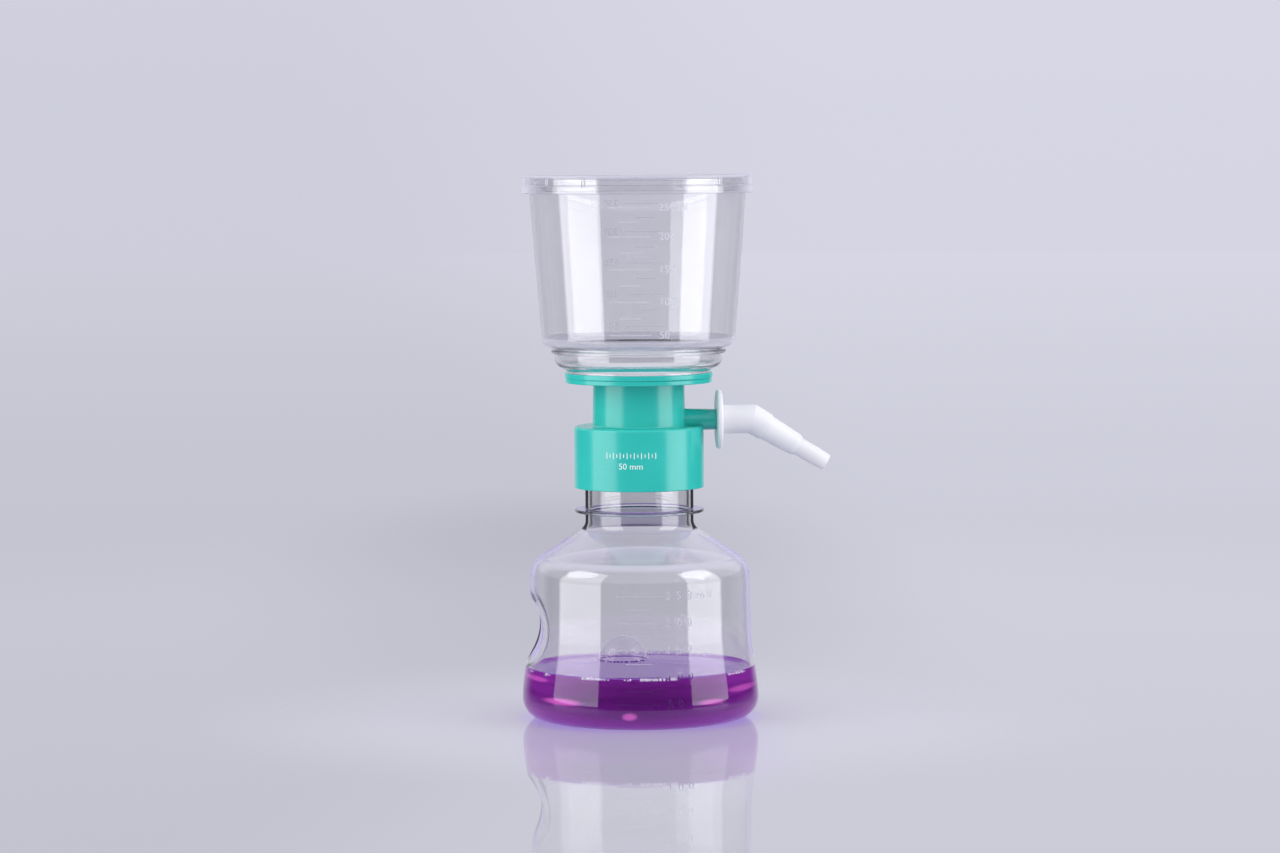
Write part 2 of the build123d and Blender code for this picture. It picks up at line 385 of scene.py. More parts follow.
class Recipe:
    """A material under construction: short calls that add nodes and join them."""

    def __init__(self, name: str, owner: Optional[bpy.types.ID] = None) -> None:
        """Start an empty node tree.

        Args:
            name: The material's name.
            owner: A world or lamp whose tree is used instead of a new material's.
        """
        self.owner = owner or bpy.data.materials.new(name)
        self.owner.use_nodes = True
        self.tree = self.owner.node_tree
        self.tree.nodes.clear()

    def add(self, kind: str, values: Optional[Values] = None, **settings: object) -> bpy.types.Node:
        """Add a node.

        Args:
            kind: The node's type, without the leading "ShaderNode".
            values: What its inputs are set to, or the sockets that they are joined to.
            **settings: The node's own settings.

        Returns:
            The node.
        """
        node = self.tree.nodes.new(f"ShaderNode{kind}")
        for name, value in settings.items():
            setattr(node, name, value)
        for name, value in (values or {}).items():
            self.feed(node.inputs[name], value)
        return node

    def feed(self, socket: Socket, value: Value) -> None:
        """Set an input to a value, or join it to a socket.

        Args:
            socket: The input.
            value: What it is set to, or the socket that it is joined to.
        """
        if isinstance(value, Socket):
            self.tree.links.new(value, socket)
        elif isinstance(value, tuple) and socket.type == "RGBA":
            socket.default_value = (*value[:3], 1.0)
        else:
            socket.default_value = value

    def math(self, operation: str, *values: Value) -> Socket:
        """Add a Math node.

        Args:
            operation: Blender's name for what it works out.
            *values: Its inputs, in order.

        Returns:
            Its result.
        """
        node = self.add("Math", operation=operation)
        for socket, value in zip(node.inputs, values):
            self.feed(socket, value)
        return node.outputs[0]

    def vector(self, operation: str, values: Values) -> Socket:
        """Add a Vector Math node.

        Args:
            operation: Blender's name for what it works out.
            values: Its inputs.

        Returns:
            Its result, or its value where that is a number.
        """
        node = self.add("VectorMath", values, operation=operation)
        return node.outputs["Value" if operation in ("DOT_PRODUCT", "LENGTH") else "Vector"]

    def times(self, *values: Value) -> Socket:
        """The product of some values."""
        return reduce(lambda product, value: self.math("MULTIPLY", product, value), values)

    def most(self, *values: Value) -> Socket:
        """The highest of some values."""
        return reduce(lambda highest, value: self.math("MAXIMUM", highest, value), values)

    def above(self, value: Value, limit: float) -> Socket:
        """1 where a value is above a limit, and 0 elsewhere."""
        return self.math("GREATER_THAN", value, limit)

    def below(self, value: Value, limit: float) -> Socket:
        """1 where a value is below a limit, and 0 elsewhere."""
        return self.math("LESS_THAN", value, limit)

    def shader(self, kind: str, values: Optional[Values] = None) -> Socket:
        """Add a shader and return its result."""
        return self.add(kind, values).outputs[0]

    def water(self, colour: Colour, roughness: Value) -> Socket:
        """Add a shader that bends light as water does."""
        values = {"Base Color": colour, "Roughness": roughness, "IOR": 1.34, "Transmission Weight": 1.0}
        return self.shader("BsdfPrincipled", values)

    def join(self, share: Value, first: Socket, second: Socket) -> Socket:
        """Mix two shaders, and return the first where the share is 0 and the second where it is 1."""
        return self.add("MixShader", {0: share, 1: first, 2: second}).outputs[0]

    def place(self) -> Socket:
        """The point's place in the object's own coordinates, in metres."""
        return self.add("TexCoord").outputs["Object"]

    def split(self, vector: Optional[Socket] = None) -> Sequence[Socket]:
        """The X, Y and Z of a vector, or of the point's place."""
        return self.add("SeparateXYZ", {"Vector": vector or self.place()}).outputs

    def glancing(self) -> Socket:
        """How edge-on the surface is seen, from 0 to 1."""
        return self.add("LayerWeight", {"Blend": 0.5}).outputs["Facing"]

    def noise(self, scale: float, detail: float = 3.0, distortion: float = 0.0) -> Socket:
        """Add a noise texture on Object coordinates and return its strength.

        Args:
            scale: How many grains there are in a metre.
            detail: How many finer layers the noise has.
            distortion: How tangled it is.
        """
        values = {"Vector": self.place(), "Scale": scale, "Detail": detail, "Distortion": distortion}
        return self.add("TexNoise", values).outputs["Fac"]

    def span(
        self,
        source: Value,
        low: float,
        high: float,
        start: float = 0.0,
        end: float = 1.0,
        path: str = "LINEAR",
    ) -> Socket:
        """Map a range of values on to another, and stop at its ends.

        Args:
            source: The value.
            low: The result at the start of the range and before it.
            high: The result at the end of the range and past it.
            start: The value at the start of the range.
            end: The value at the end of the range.
            path: Blender's name for how it gets from one to the other.
        """
        values = {"Value": source, "From Min": start, "From Max": end, "To Min": low, "To Max": high}
        return self.add("MapRange", values, interpolation_type=path).outputs["Result"]

    def smooth_span(self, source: Value, low: float, high: float, start: float, end: float) -> Socket:
        """Map a range of values on to another, with soft ends."""
        return self.span(source, low, high, start, end, "SMOOTHSTEP")

    def rise(self, source: Value, start: float, end: float) -> Socket:
        """0 before a range of values, 1 past it, and softly between."""
        return self.smooth_span(source, 0.0, 1.0, start, end)

    def fall(self, source: Value, start: float, end: float) -> Socket:
        """1 before a range of values, 0 past it, and softly between."""
        return self.smooth_span(source, 1.0, 0.0, start, end)

    def ramp(self, source: Value, stops: Sequence[tuple[float, Colour]]) -> Socket:
        """Add a colour ramp.

        Args:
            source: Where along the ramp a point is.
            stops: Each stop's place and colour.

        Returns:
            The ramp's colour.
        """
        node = self.add("ValToRGB", {"Fac": source})
        elements = node.color_ramp.elements
        while len(elements) < len(stops):
            elements.new(1.0)
        for element, (at, colour) in zip(elements, stops):
            element.position = at
            element.color = (*colour, 1.0)
        return node.outputs["Color"]

    def bump(self, height: Value, depth: float) -> Socket:
        """Add a bump of a depth in metres and return its normal."""
        return self.add("Bump", {"Height": height, "Distance": depth, "Strength": 1.0}).outputs["Normal"]

    def finish(self, surface: Socket, volume: Optional[Socket] = None) -> bpy.types.ID:
        """Join the last shaders to the output.

        Args:
            surface: The surface shader.
            volume: The volume shader, for a liquid.

        Returns:
            The material, world or lamp.
        """
        kinds = {"World": "OutputWorld", "Material": "OutputMaterial"}
        kind = kinds.get(type(self.owner).__name__, "OutputLight")
        output = self.add(kind, {"Surface": surface})
        if volume:
            self.feed(output.inputs["Volume"], volume)
        return self.owner


def srgb(red: int, green: int, blue: int) -> Colour:
    """A colour given in screen values from 0 to 255, as linear light."""
    steps = [value / 255 for value in (red, green, blue)]
    return tuple(s / 12.92 if s <= 0.04045 else ((s + 0.055) / 1.055) ** 2.4 for s in steps)


class Rays:
    """What a ray has done before it gets to the finish that is under construction."""

    def __init__(self, recipe: Recipe) -> None:
        """Start with the recipe whose nodes ask."""
        self.recipe = recipe
        self.facts = recipe.add("LightPath").outputs

    def now(self, kind: str) -> Socket:
        """1 for a ray of a kind, and 0 for any other."""
        return self.facts[f"Is {kind} Ray"]

    def reached(self, kind: str, count: int) -> Socket:
        """1 for a ray that has bounced in one way at least so many times, and 0 for any other."""
        return self.recipe.above(self.facts[f"{kind} Depth"], count - 0.5)

    def under(self, count: int, *kinds: str) -> Socket:
        """1 for a ray that has bounced in each of some ways fewer times than that, and 0 for any other."""
        below = self.recipe.below
        return self.recipe.times(*(below(self.facts[f"{kind} Depth"], count - 0.5) for kind in kinds))

    def seen_through(self) -> Socket:
        """1 for a ray that has come straight through clear plastic and no liquid, and 0 for any other."""
        straight = self.under(1, "Glossy", "Diffuse", "Transparent")
        return self.recipe.times(self.reached("Transmission", 1), straight)

    def through_liquid(self) -> Socket:
        """1 for a ray that has crossed the liquid and come out through the wall, and 0 for any other."""
        wet = self.reached("Transparent", 2)
        return self.recipe.times(wet, self.under(1, "Glossy", "Diffuse"), self.reached("Transmission", 1))

    def mirrored_dry(self, passes: int) -> Socket:
        """1 for a ray that was mirrored and never crossed the liquid, and 0 for any other.

        Args:
            passes: How many times a dry ray can have gone straight through a surface.
        """
        return self.recipe.times(self.reached("Glossy", 1), self.under(passes + 1, "Transparent"))

    def caught_inside(self) -> Socket:
        """1 for a ray that leaves a clear wall after it was mirrored inside it, and 0 for any other."""
        one_wall = self.under(3, "Transmission")
        return self.recipe.times(self.now("Transmission"), one_wall, self.reached("Glossy", 1))


def lit_through(recipe: Recipe, glass: Socket, tint: Colour) -> Socket:
    """Let light reach what is behind clear plastic without bending it.

    Args:
        recipe: The material under construction.
        glass: The shader that the eye sees.
        tint: How much of the light passes.

    Returns:
        The joined shader.
    """
    rays = Rays(recipe)
    open_way = recipe.shader("BsdfTransparent", {"Color": tint})
    return recipe.join(rays.now("Diffuse"), recipe.join(rays.now("Shadow"), glass, open_way), open_way)


class Finish:
    """A finish that is one plain shader, apart from what its inputs are set to."""

    def values(self, recipe: Recipe) -> Values:
        """What the shader's inputs are set to or joined to."""
        raise NotImplementedError

    def material(self, name: str) -> Material:
        """Mix the finish, and return its material."""
        recipe = Recipe(name)
        return recipe.finish(recipe.shader("BsdfPrincipled", self.values(recipe)))


@dataclass(frozen=True)
class Edge:
    """A painted band on a clear wall where it is seen edge-on: painted shade and dark reflections, or a
    painted pale cover.

    Attributes:
        low: The lowest height in millimetres.
        high: The highest height in millimetres.
        start: How edge-on the wall is where the painted colour starts.
        end: How edge-on it is where the painted colour is strongest.
        least: How much painted colour covers the wall anywhere between the heights.
        most: How much painted colour there is at most.
        side: The greatest X in millimetres.
        back: The least Y in millimetres.
        colour: The painted colour: dark for painted shade and dark reflections, pale for a painted cover.
        softness: How far it fades out past its heights.
    """

    low: float
    high: float
    start: float
    end: float
    least: float = 0.0
    most: float = 1.0
    side: float = 100.0
    back: float = -100.0
    # the painted dark colour of painted shade and dark reflections
    colour: Colour = srgb(30, 30, 34)
    softness: float = 0.4

    def cover(self, recipe: Recipe, wall: Socket) -> Socket:
        """Lay the painted band over a wall's shader.

        Args:
            recipe: The material under construction.
            wall: The clear wall's shader.

        Returns:
            The joined shader.
        """
        across, depth, height = recipe.split()
        # painted shade or a painted pale cover, strongest where the wall is seen edge-on
        share = recipe.smooth_span(recipe.glancing(), self.least, self.most, self.start, self.end)
        share = recipe.times(
            share,
            recipe.rise(height, (self.low - self.softness) * MM, (self.low + self.softness) * MM),
            recipe.fall(height, (self.high - self.softness) * MM, (self.high + self.softness) * MM),
            recipe.below(across, self.side * MM),
            recipe.above(depth, self.back * MM),
        )
        line = {"Base Color": self.colour, "Roughness": 0.5, "IOR": 1.2}
        return recipe.join(share, wall, recipe.shader("BsdfPrincipled", line))


@dataclass(frozen=True)
class ClearPlastic:
    """Injection-moulded clear polystyrene, with a faint flow ripple.

    Attributes:
        tint: The plastic's own colour.
        bend: Its refractive index.
        dullest: The roughness where it is least polished.
        ripple: The depth of its ripple in metres.
        passes: How much light it lets through to what is behind it.
        brim: The height in metres that liquid wets its inside to.
        wet_bend: Its refractive index against the liquid's.
        edges: Its painted bands: painted shade, dark reflections and pale covers where it is seen edge-on.
        ring: The heights in millimetres of a ring whose colour is painted with the light that it refracts.
        ring_under: The painted colour of the light that it refracts from under it.
        ring_over: The painted colour of the light that it refracts from above.
        ring_margin: How far past its heights its painted colours reach.
    """

    tint: Colour = (0.995, 0.995, 1.0)
    bend: float = 1.59
    dullest: float = 0.035
    ripple: float = 0.00001
    passes: Colour = (0.93, 0.93, 0.95)
    brim: float = 0.0
    wet_bend: float = 1.187
    edges: tuple[Edge, ...] = ()
    ring: Optional[tuple[float, float]] = None
    # painted bluish and lavender light on the neck ring
    ring_under: Colour = srgb(98, 176, 206)
    ring_over: Colour = srgb(186, 134, 240)
    ring_margin: float = 0.3

    def material(self, name: str) -> Material:
        """Mix the plastic.

        Args:
            name: The material's name.

        Returns:
            The material.
        """
        recipe = Recipe(name)
        # on the neck ring the base colour is painted with the light that it refracts
        values = {
            "Base Color": self.ring_colour(recipe) if self.ring else self.tint,
            "Roughness": recipe.span(recipe.noise(220.0), 0.0, self.dullest, 0.35, 0.75),
            "IOR": self.bend,
            "Transmission Weight": 1.0,
            "Normal": recipe.bump(recipe.noise(60.0, 2.0), self.ripple),
        }
        glass = recipe.shader("BsdfPrincipled", values)
        if self.brim:
            wet = recipe.shader("BsdfPrincipled", {**values, "IOR": self.wet_bend})
            glass = recipe.join(self.wetted(recipe), glass, wet)
        # painted shade, painted dark reflections and painted pale covers where the wall is seen edge-on
        for edge in self.edges:
            glass = edge.cover(recipe, glass)
        return recipe.finish(lit_through(recipe, glass, self.passes))

    def ring_colour(self, recipe: Recipe) -> Socket:
        """The plastic's colour, with painted refracted light only across the ring.

        Args:
            recipe: The material under construction.

        Returns:
            The colour.
        """
        low, high = self.ring
        start, end = (low - self.ring_margin) * MM, (high + self.ring_margin) * MM
        # painted bluish light from under the ring and painted lavender light from above it
        stops = (
            (0.0, self.tint),
            (0.15, self.ring_under),
            (0.4, self.tint),
            (0.6, self.tint),
            (0.85, self.ring_over),
            (1.0, self.tint),
        )
        return recipe.ramp(recipe.span(recipe.split()["Z"], 0.0, 1.0, start, end), stops)

    def wetted(self, recipe: Recipe) -> Socket:
        """1 on the wall's inside below the brim, and 0 elsewhere."""
        low = recipe.below(recipe.split()["Z"], self.brim)
        return recipe.times(low, recipe.below(outwardness(recipe), 0.0))


def skin_normal(recipe: Recipe) -> Socket:
    """The direction that a closed skin faces, from whichever side it is seen.

    Args:
        recipe: The material under construction.

    Returns:
        The direction.
    """
    geometry = recipe.add("NewGeometry").outputs
    turned = recipe.math("MULTIPLY_ADD", geometry["Backfacing"], -2.0, 1.0)
    return recipe.vector("SCALE", {0: geometry["True Normal"], "Scale": turned})


def outwardness(recipe: Recipe) -> Socket:
    """How much a skin faces away from the unit's axis, or down where it is level."""
    away = recipe.vector("MULTIPLY_ADD", {0: recipe.place(), 1: (1.0, 1.0, 0.0), 2: (0.0, 0.0, -0.02)})
    return recipe.vector("DOT_PRODUCT", {0: skin_normal(recipe), 1: away})


@dataclass(frozen=True)
class MouldedMark(Finish):
    """A raised mark on clear plastic, whose etched face scatters a little light.

    Attributes:
        clearness: How much light goes through it.
        colour: Its colour above the brim.
        brim: The height in millimetres that liquid stands behind it to.
        wet_colour: Its painted colour below that, for the violet liquid seen through it.
    """

    clearness: float
    colour: Colour = srgb(240, 240, 246)
    brim: float = 0.0
    wet_colour: Colour = srgb(118, 52, 142)

    def values(self, recipe: Recipe) -> Values:
        """The mark's colour by height, painted violet below the brim, and its frosted face.

        Args:
            recipe: The material under construction.

        Returns:
            The names of the shader's inputs, with what they are set to or joined to.
        """
        # below the brim the mark is painted violet, for the liquid seen through it
        dry = recipe.span(recipe.split()["Z"], 0.0, 1.0, self.brim * MM, (self.brim + 1.5) * MM)
        return {
            "Base Color": recipe.ramp(dry, ((0.0, self.wet_colour), (1.0, self.colour))),
            "Roughness": recipe.span(recipe.noise(4000.0, 2.0), 0.25, 0.5),
            "IOR": 1.4,
            "Transmission Weight": self.clearness,
        }

    def material(self, name: str) -> Material:
        """Mix the mark's frosted plastic.

        Args:
            name: The material's name.

        Returns:
            The material.
        """
        recipe = Recipe(name)
        frost = recipe.shader("BsdfPrincipled", self.values(recipe))
        return recipe.finish(lit_through(recipe, frost, (0.9, 0.9, 0.9)))


@dataclass(frozen=True)
class Glint:
    """A painted highlight: a glowing streak on the liquid's front, in millimetres.

    Attributes:
        across: Its X.
        height: Its Z.
        half_width: Half its width.
        half_height: Half its height.
        strength: How bright it is in its middle.
    """

    across: float
    height: float
    half_width: float
    half_height: float
    strength: float

    def share(self, recipe: Recipe) -> Socket:
        """How much of the painted highlight shows at a point, from 0 to its strength.

        Args:
            recipe: The material under construction.

        Returns:
            The share.
        """
        across, depth, height = recipe.split()
        squares = []
        for place, middle, half in (
            (across, self.across, self.half_width),
            (height, self.height, self.half_height),
        ):
            away = recipe.math("MULTIPLY_ADD", place, 1 / (half * MM), -middle / half)
            squares.append(recipe.times(away, away))
        shown = recipe.smooth_span(recipe.math("ADD", *squares), self.strength, 0.0, 0.0, 1.3)
        return recipe.times(shown, recipe.below(depth, 0.0), Rays(recipe).under(1, "Glossy"))


@dataclass(frozen=True)
class Filtrate:
    """Clear violet liquid, which takes its colour from the light that crosses it.

    It bends light only at its top: the bottle's own inside bends what enters through the wall.

    Attributes:
        kept: The share of each colour that it keeps.
        density: How soon it has taken the rest.
        haze: The colour that its side scatters.
        bloom: The colour that its top scatters.
        least_haze: How cloudy its side is where it is seen straight on.
        most_haze: How cloudy it is where it is seen edge-on.
        glow: The colour of its painted glints, which glow.
        glints: Its painted highlights.
    """

    kept: Colour = (0.637, 0.077, 0.694)
    density: float = 60.0
    haze: Colour = (0.52, 0.035, 0.64)
    bloom: Colour = srgb(158, 104, 240)
    least_haze: float = 0.01
    most_haze: float = 0.4
    glow: Colour = srgb(226, 104, 212)
    # painted highlights on the liquid's front
    glints: tuple[Glint, ...] = (
        Glint(-38.5, 17.0, 4.0, 1.0, 0.55),
        Glint(-30.0, 10.0, 7.0, 1.4, 0.8),
        Glint(-6.2, 5.9, 3.0, 1.5, 0.6),
        Glint(24.0, 10.0, 5.5, 1.2, 0.6),
        Glint(36.0, 13.4, 6.5, 1.3, 0.5),
    )

    def material(self, name: str) -> Material:
        """Mix the liquid.

        Args:
            name: The material's name.

        Returns:
            The material.
        """
        recipe = Recipe(name)
        upward = recipe.split(skin_normal(recipe))["Z"]
        cloudy = recipe.span(recipe.glancing(), self.least_haze, self.most_haze, 0.0, 0.26)
        haze = recipe.shader("BsdfDiffuse", {"Color": self.haze})
        side = recipe.join(cloudy, recipe.shader("BsdfTransparent"), haze)
        # the painted glints glow on the liquid's side
        glow = recipe.shader("Emission", {"Color": self.glow})
        for glint in self.glints:
            side = recipe.join(glint.share(recipe), side, glow)
        bloom = recipe.shader("BsdfDiffuse", {"Color": self.bloom})
        water = recipe.water((1.0, 1.0, 1.0), recipe.span(recipe.noise(90.0), 0.0, 0.02))
        shader = recipe.join(recipe.above(upward, 0.3), side, recipe.join(0.2, water, bloom))
        dye = recipe.shader("VolumeAbsorption", {"Color": self.kept, "Density": self.density})
        return recipe.finish(lit_through(recipe, shader, (0.97, 0.97, 0.97)), dye)


@dataclass(frozen=True)
class BubbleFilm:
    """The thin skin of a bubble, with a painted white rim where it is seen edge-on."""

    tint: Colour = (1.0, 0.99, 1.0)
    rim: Colour = srgb(232, 230, 244)

    def material(self, name: str) -> Material:
        """Mix the film.

        Args:
            name: The material's name.

        Returns:
            The material.
        """
        recipe = Recipe(name)
        film = recipe.water(self.tint, recipe.span(recipe.noise(300.0), 0.0, 0.04))
        # a painted highlight: white where the film is seen edge-on, for its bright reflection
        share = recipe.smooth_span(recipe.glancing(), 0.03, 0.4, 0.55, 0.9)
        skin = recipe.join(share, film, recipe.shader("BsdfDiffuse", {"Color": self.rim}))
        # the liquid's top mirrors hardly anything of so thin a skin
        mirrored = Rays(recipe).reached("Glossy", 1)
        shader = recipe.join(mirrored, skin, recipe.shader("BsdfTransparent"))
        return recipe.finish(lit_through(recipe, shader, (0.98, 0.98, 0.98)))


@dataclass(frozen=True)
class Foam(Finish):
    """Tiny air bubbles, which show as white beads, or liquid that is drawn up thinly."""

    shade: Colour = srgb(236, 228, 248)
    light: Colour = srgb(255, 254, 255)

    def values(self, recipe: Recipe) -> Values:
        """The beads' colours and their wet gloss.

        Args:
            recipe: The material under construction.

        Returns:
            The names of the shader's inputs, with what they are set to or joined to.
        """
        return {
            "Base Color": recipe.ramp(recipe.noise(900.0), ((0.3, self.shade), (0.7, self.light))),
            "Roughness": 0.08,
            "IOR": 1.34,
            "Transmission Weight": 0.2,
        }


@dataclass(frozen=True)
class GreenPlastic(Finish):
    """Opaque green moulded plastic with a soft gloss, and a fine parting line round the collar.

    Attributes:
        shade: Its darker colour.
        light: Its lighter colour.
        parting: The height of the parting line in millimetres.
        parting_width: How far the line reaches to either side.
    """

    shade: Colour = srgb(38, 186, 175)
    light: Colour = srgb(50, 197, 185)
    parting: float = 95.0
    parting_width: float = 0.35

    def values(self, recipe: Recipe) -> Values:
        """The plastic's flow marks, its fine grain and its parting line.

        Args:
            recipe: The material under construction.

        Returns:
            The names of the shader's inputs, with what they are set to or joined to.
        """
        grain = recipe.noise(2500.0, 2.0)
        away = recipe.math("ABSOLUTE", recipe.math("SUBTRACT", recipe.split()["Z"], self.parting * MM))
        seam = recipe.span(away, 1.0, 0.0, 0.0, self.parting_width * MM)
        relief = recipe.math("ADD", recipe.times(grain, 0.12), seam)
        return {
            "Base Color": recipe.ramp(recipe.noise(35.0, 2.0), ((0.25, self.shade), (0.75, self.light))),
            "Roughness": recipe.span(grain, 0.16, 0.3),
            "IOR": 1.62,
            "Subsurface Weight": 0.08,
            "Subsurface Radius": (0.3, 1.0, 0.9),
            "Subsurface Scale": 0.0015,
            "Normal": recipe.bump(relief, 0.00002),
        }


@dataclass(frozen=True)
class WhitePlastic(Finish):
    """Milky white polypropylene that light soaks into."""

    shade: Colour = srgb(225, 225, 230)
    light: Colour = srgb(237, 237, 241)

    def values(self, recipe: Recipe) -> Values:
        """The plastic's flow marks and its dull, fine grain.

        Args:
            recipe: The material under construction.

        Returns:
            The names of the shader's inputs, with what they are set to or joined to.
        """
        grain = recipe.noise(1800.0)
        return {
            "Base Color": recipe.ramp(recipe.noise(45.0, 2.0), ((0.25, self.shade), (0.75, self.light))),
            "Roughness": recipe.span(grain, 0.32, 0.5),
            "IOR": 1.49,
            "Subsurface Weight": 0.35,
            "Subsurface Radius": (1.0, 0.95, 0.95),
            "Subsurface Scale": 0.003,
            "Normal": recipe.bump(grain, 0.000008),
        }


@dataclass(frozen=True)
class Membrane(Finish):
    """White filter membrane: matt, with a fine pored grain."""

    shade: Colour = srgb(236, 236, 238)
    light: Colour = srgb(246, 246, 247)

    def values(self, recipe: Recipe) -> Values:
        """The sheet's faint clouds and its pores.

        Args:
            recipe: The material under construction.

        Returns:
            The names of the shader's inputs, with what they are set to or joined to.
        """
        pores = recipe.add("TexVoronoi", {"Vector": recipe.place(), "Scale": 5000.0}).outputs["Distance"]
        return {
            "Base Color": recipe.ramp(recipe.noise(120.0), ((0.3, self.shade), (0.7, self.light))),
            "Roughness": recipe.span(pores, 0.7, 0.95),
            "Normal": recipe.bump(pores, 0.00001),
        }


@dataclass(frozen=True)
class Silicone(Finish):
    """Pale translucent seal rubber."""

    shade: Colour = srgb(214, 216, 222)
    light: Colour = srgb(228, 230, 234)

    def values(self, recipe: Recipe) -> Values:
        """The rubber's clouds and its soft, dull skin.

        Args:
            recipe: The material under construction.

        Returns:
            The names of the shader's inputs, with what they are set to or joined to.
        """
        cloud = recipe.noise(150.0)
        return {
            "Base Color": recipe.ramp(cloud, ((0.3, self.shade), (0.7, self.light))),
            "Roughness": recipe.span(cloud, 0.4, 0.6),
            "Subsurface Weight": 0.4,
            "Subsurface Scale": 0.002,
            "Normal": recipe.bump(recipe.noise(3000.0), 0.000006),
        }


@dataclass(frozen=True)
class Cotton(Finish):
    """Loose white cotton, with fibres that lie every way."""

    shade: Colour = srgb(222, 220, 214)
    light: Colour = srgb(250, 249, 246)

    def values(self, recipe: Recipe) -> Values:
        """The fibres, as tangled noise.

        Args:
            recipe: The material under construction.

        Returns:
            The names of the shader's inputs, with what they are set to or joined to.
        """
        fibres = recipe.noise(2600.0, 6.0, 3.0)
        return {
            "Base Color": recipe.ramp(fibres, ((0.3, self.shade), (0.65, self.light))),
            "Roughness": 0.95,
            "Sheen Weight": 0.4,
            "Subsurface Weight": 0.2,
            "Subsurface Scale": 0.001,
            "Normal": recipe.bump(fibres, 0.0001),
        }


@dataclass(frozen=True)
class PadInk(Finish):
    """White pad-printing ink, slightly uneven."""

    shade: Colour = srgb(205, 236, 230)
    light: Colour = srgb(238, 248, 246)

    def values(self, recipe: Recipe) -> Values:
        """The ink's speckle.

        Args:
            recipe: The material under construction.

        Returns:
            The names of the shader's inputs, with what they are set to or joined to.
        """
        speckle = recipe.noise(3500.0)
        return {
            "Base Color": recipe.ramp(speckle, ((0.3, self.shade), (0.6, self.light))),
            "Roughness": recipe.span(speckle, 0.35, 0.55),
        }


# --- marks ----------------------------------------------------------------------------------------


@dataclass(frozen=True)
class Wording:
    """Plain words or numbers, which start at a place on a turned surface.

    Attributes:
        text: What it says.
        size: The height of a digit in millimetres.
        spacing: How far its letters are apart, as a share of the usual.
    """

    text: str
    size: float
    spacing: float = 1.0

    def cut(self) -> Piece:
        """Cut the letters as flat faces that look towards -Y.

        Returns:
            The letters, with their left end at the origin.
        """
        deselect()
        bpy.ops.object.text_add(rotation=(math.pi / 2, 0, 0))
        letters = bpy.context.object
        letters.data.body = self.text
        letters.data.size = self.size * MM / DIGIT_SHARE
        letters.data.space_character = self.spacing
        letters.data.align_x = "LEFT"
        letters.data.align_y = "CENTER"
        letters.data.resolution_u = 3
        bpy.ops.object.convert(target="MESH")
        return christen("letters")


@dataclass(frozen=True)
class Tick:
    """A short level line, centred on a place on a turned surface.

    Attributes:
        length: Its length in millimetres.
        width: How thick it is.
    """

    length: float
    width: float = 0.22

    def cut(self) -> Piece:
        """Cut the line as a row of flat faces that look towards -Y.

        Returns:
            The line, centred on the origin.
        """
        deselect()
        bpy.ops.mesh.primitive_plane_add(size=MM, rotation=(math.pi / 2, 0, 0))
        bpy.context.object.scale = (self.length, self.width, 1)
        tick = christen("tick")
        with editing(tick, Kind.EDGE):
            pick(tick, Kind.EDGE, lambda at: abs(at.z) > self.width * MM / 4)
            bpy.ops.mesh.subdivide(number_cuts=max(1, round(self.length)))
        return tick


@dataclass(frozen=True)
class Marker:
    """Puts flat marks on to a turned surface.

    Attributes:
        surface: The piece that they stand on.
        radius: The surface's radius there in millimetres.
        proud: How far they stand out of it.
        sunk: How far they are let into it.
        start_off: How far off it they start before they are laid on it.
    """

    surface: Piece
    radius: float
    proud: float = 0.12
    sunk: float = 0.04
    start_off: float = 5.0

    def stand(self, mark: Piece, height: float, azimuth: float, start: float = 0.0) -> Piece:
        """Lay one mark on the surface and give it its thickness.

        Args:
            mark: The flat mark at the origin.
            height: The mark's height in millimetres.
            azimuth: Where it stands round the surface, in degrees.
            start: How far along the surface from there a tick's middle or a word's start is, in millimetres.

        Returns:
            The mark, in place.
        """
        hold(mark)
        mark.location = (0, -(self.radius + self.start_off) * MM, height * MM)
        bpy.ops.object.transform_apply(location=True)
        modify(
            mark,
            "SHRINKWRAP",
            target=self.surface,
            wrap_method="PROJECT",
            use_project_y=True,
            use_negative_direction=False,
            use_positive_direction=True,
        )
        thickness = self.proud + self.sunk
        modify(mark, "SOLIDIFY", thickness=thickness * MM, offset=1 - 2 * self.sunk / thickness)
        mark.rotation_euler.z = math.radians(azimuth + math.degrees(start / self.radius))
        bpy.ops.object.transform_apply(rotation=True)
        return mark


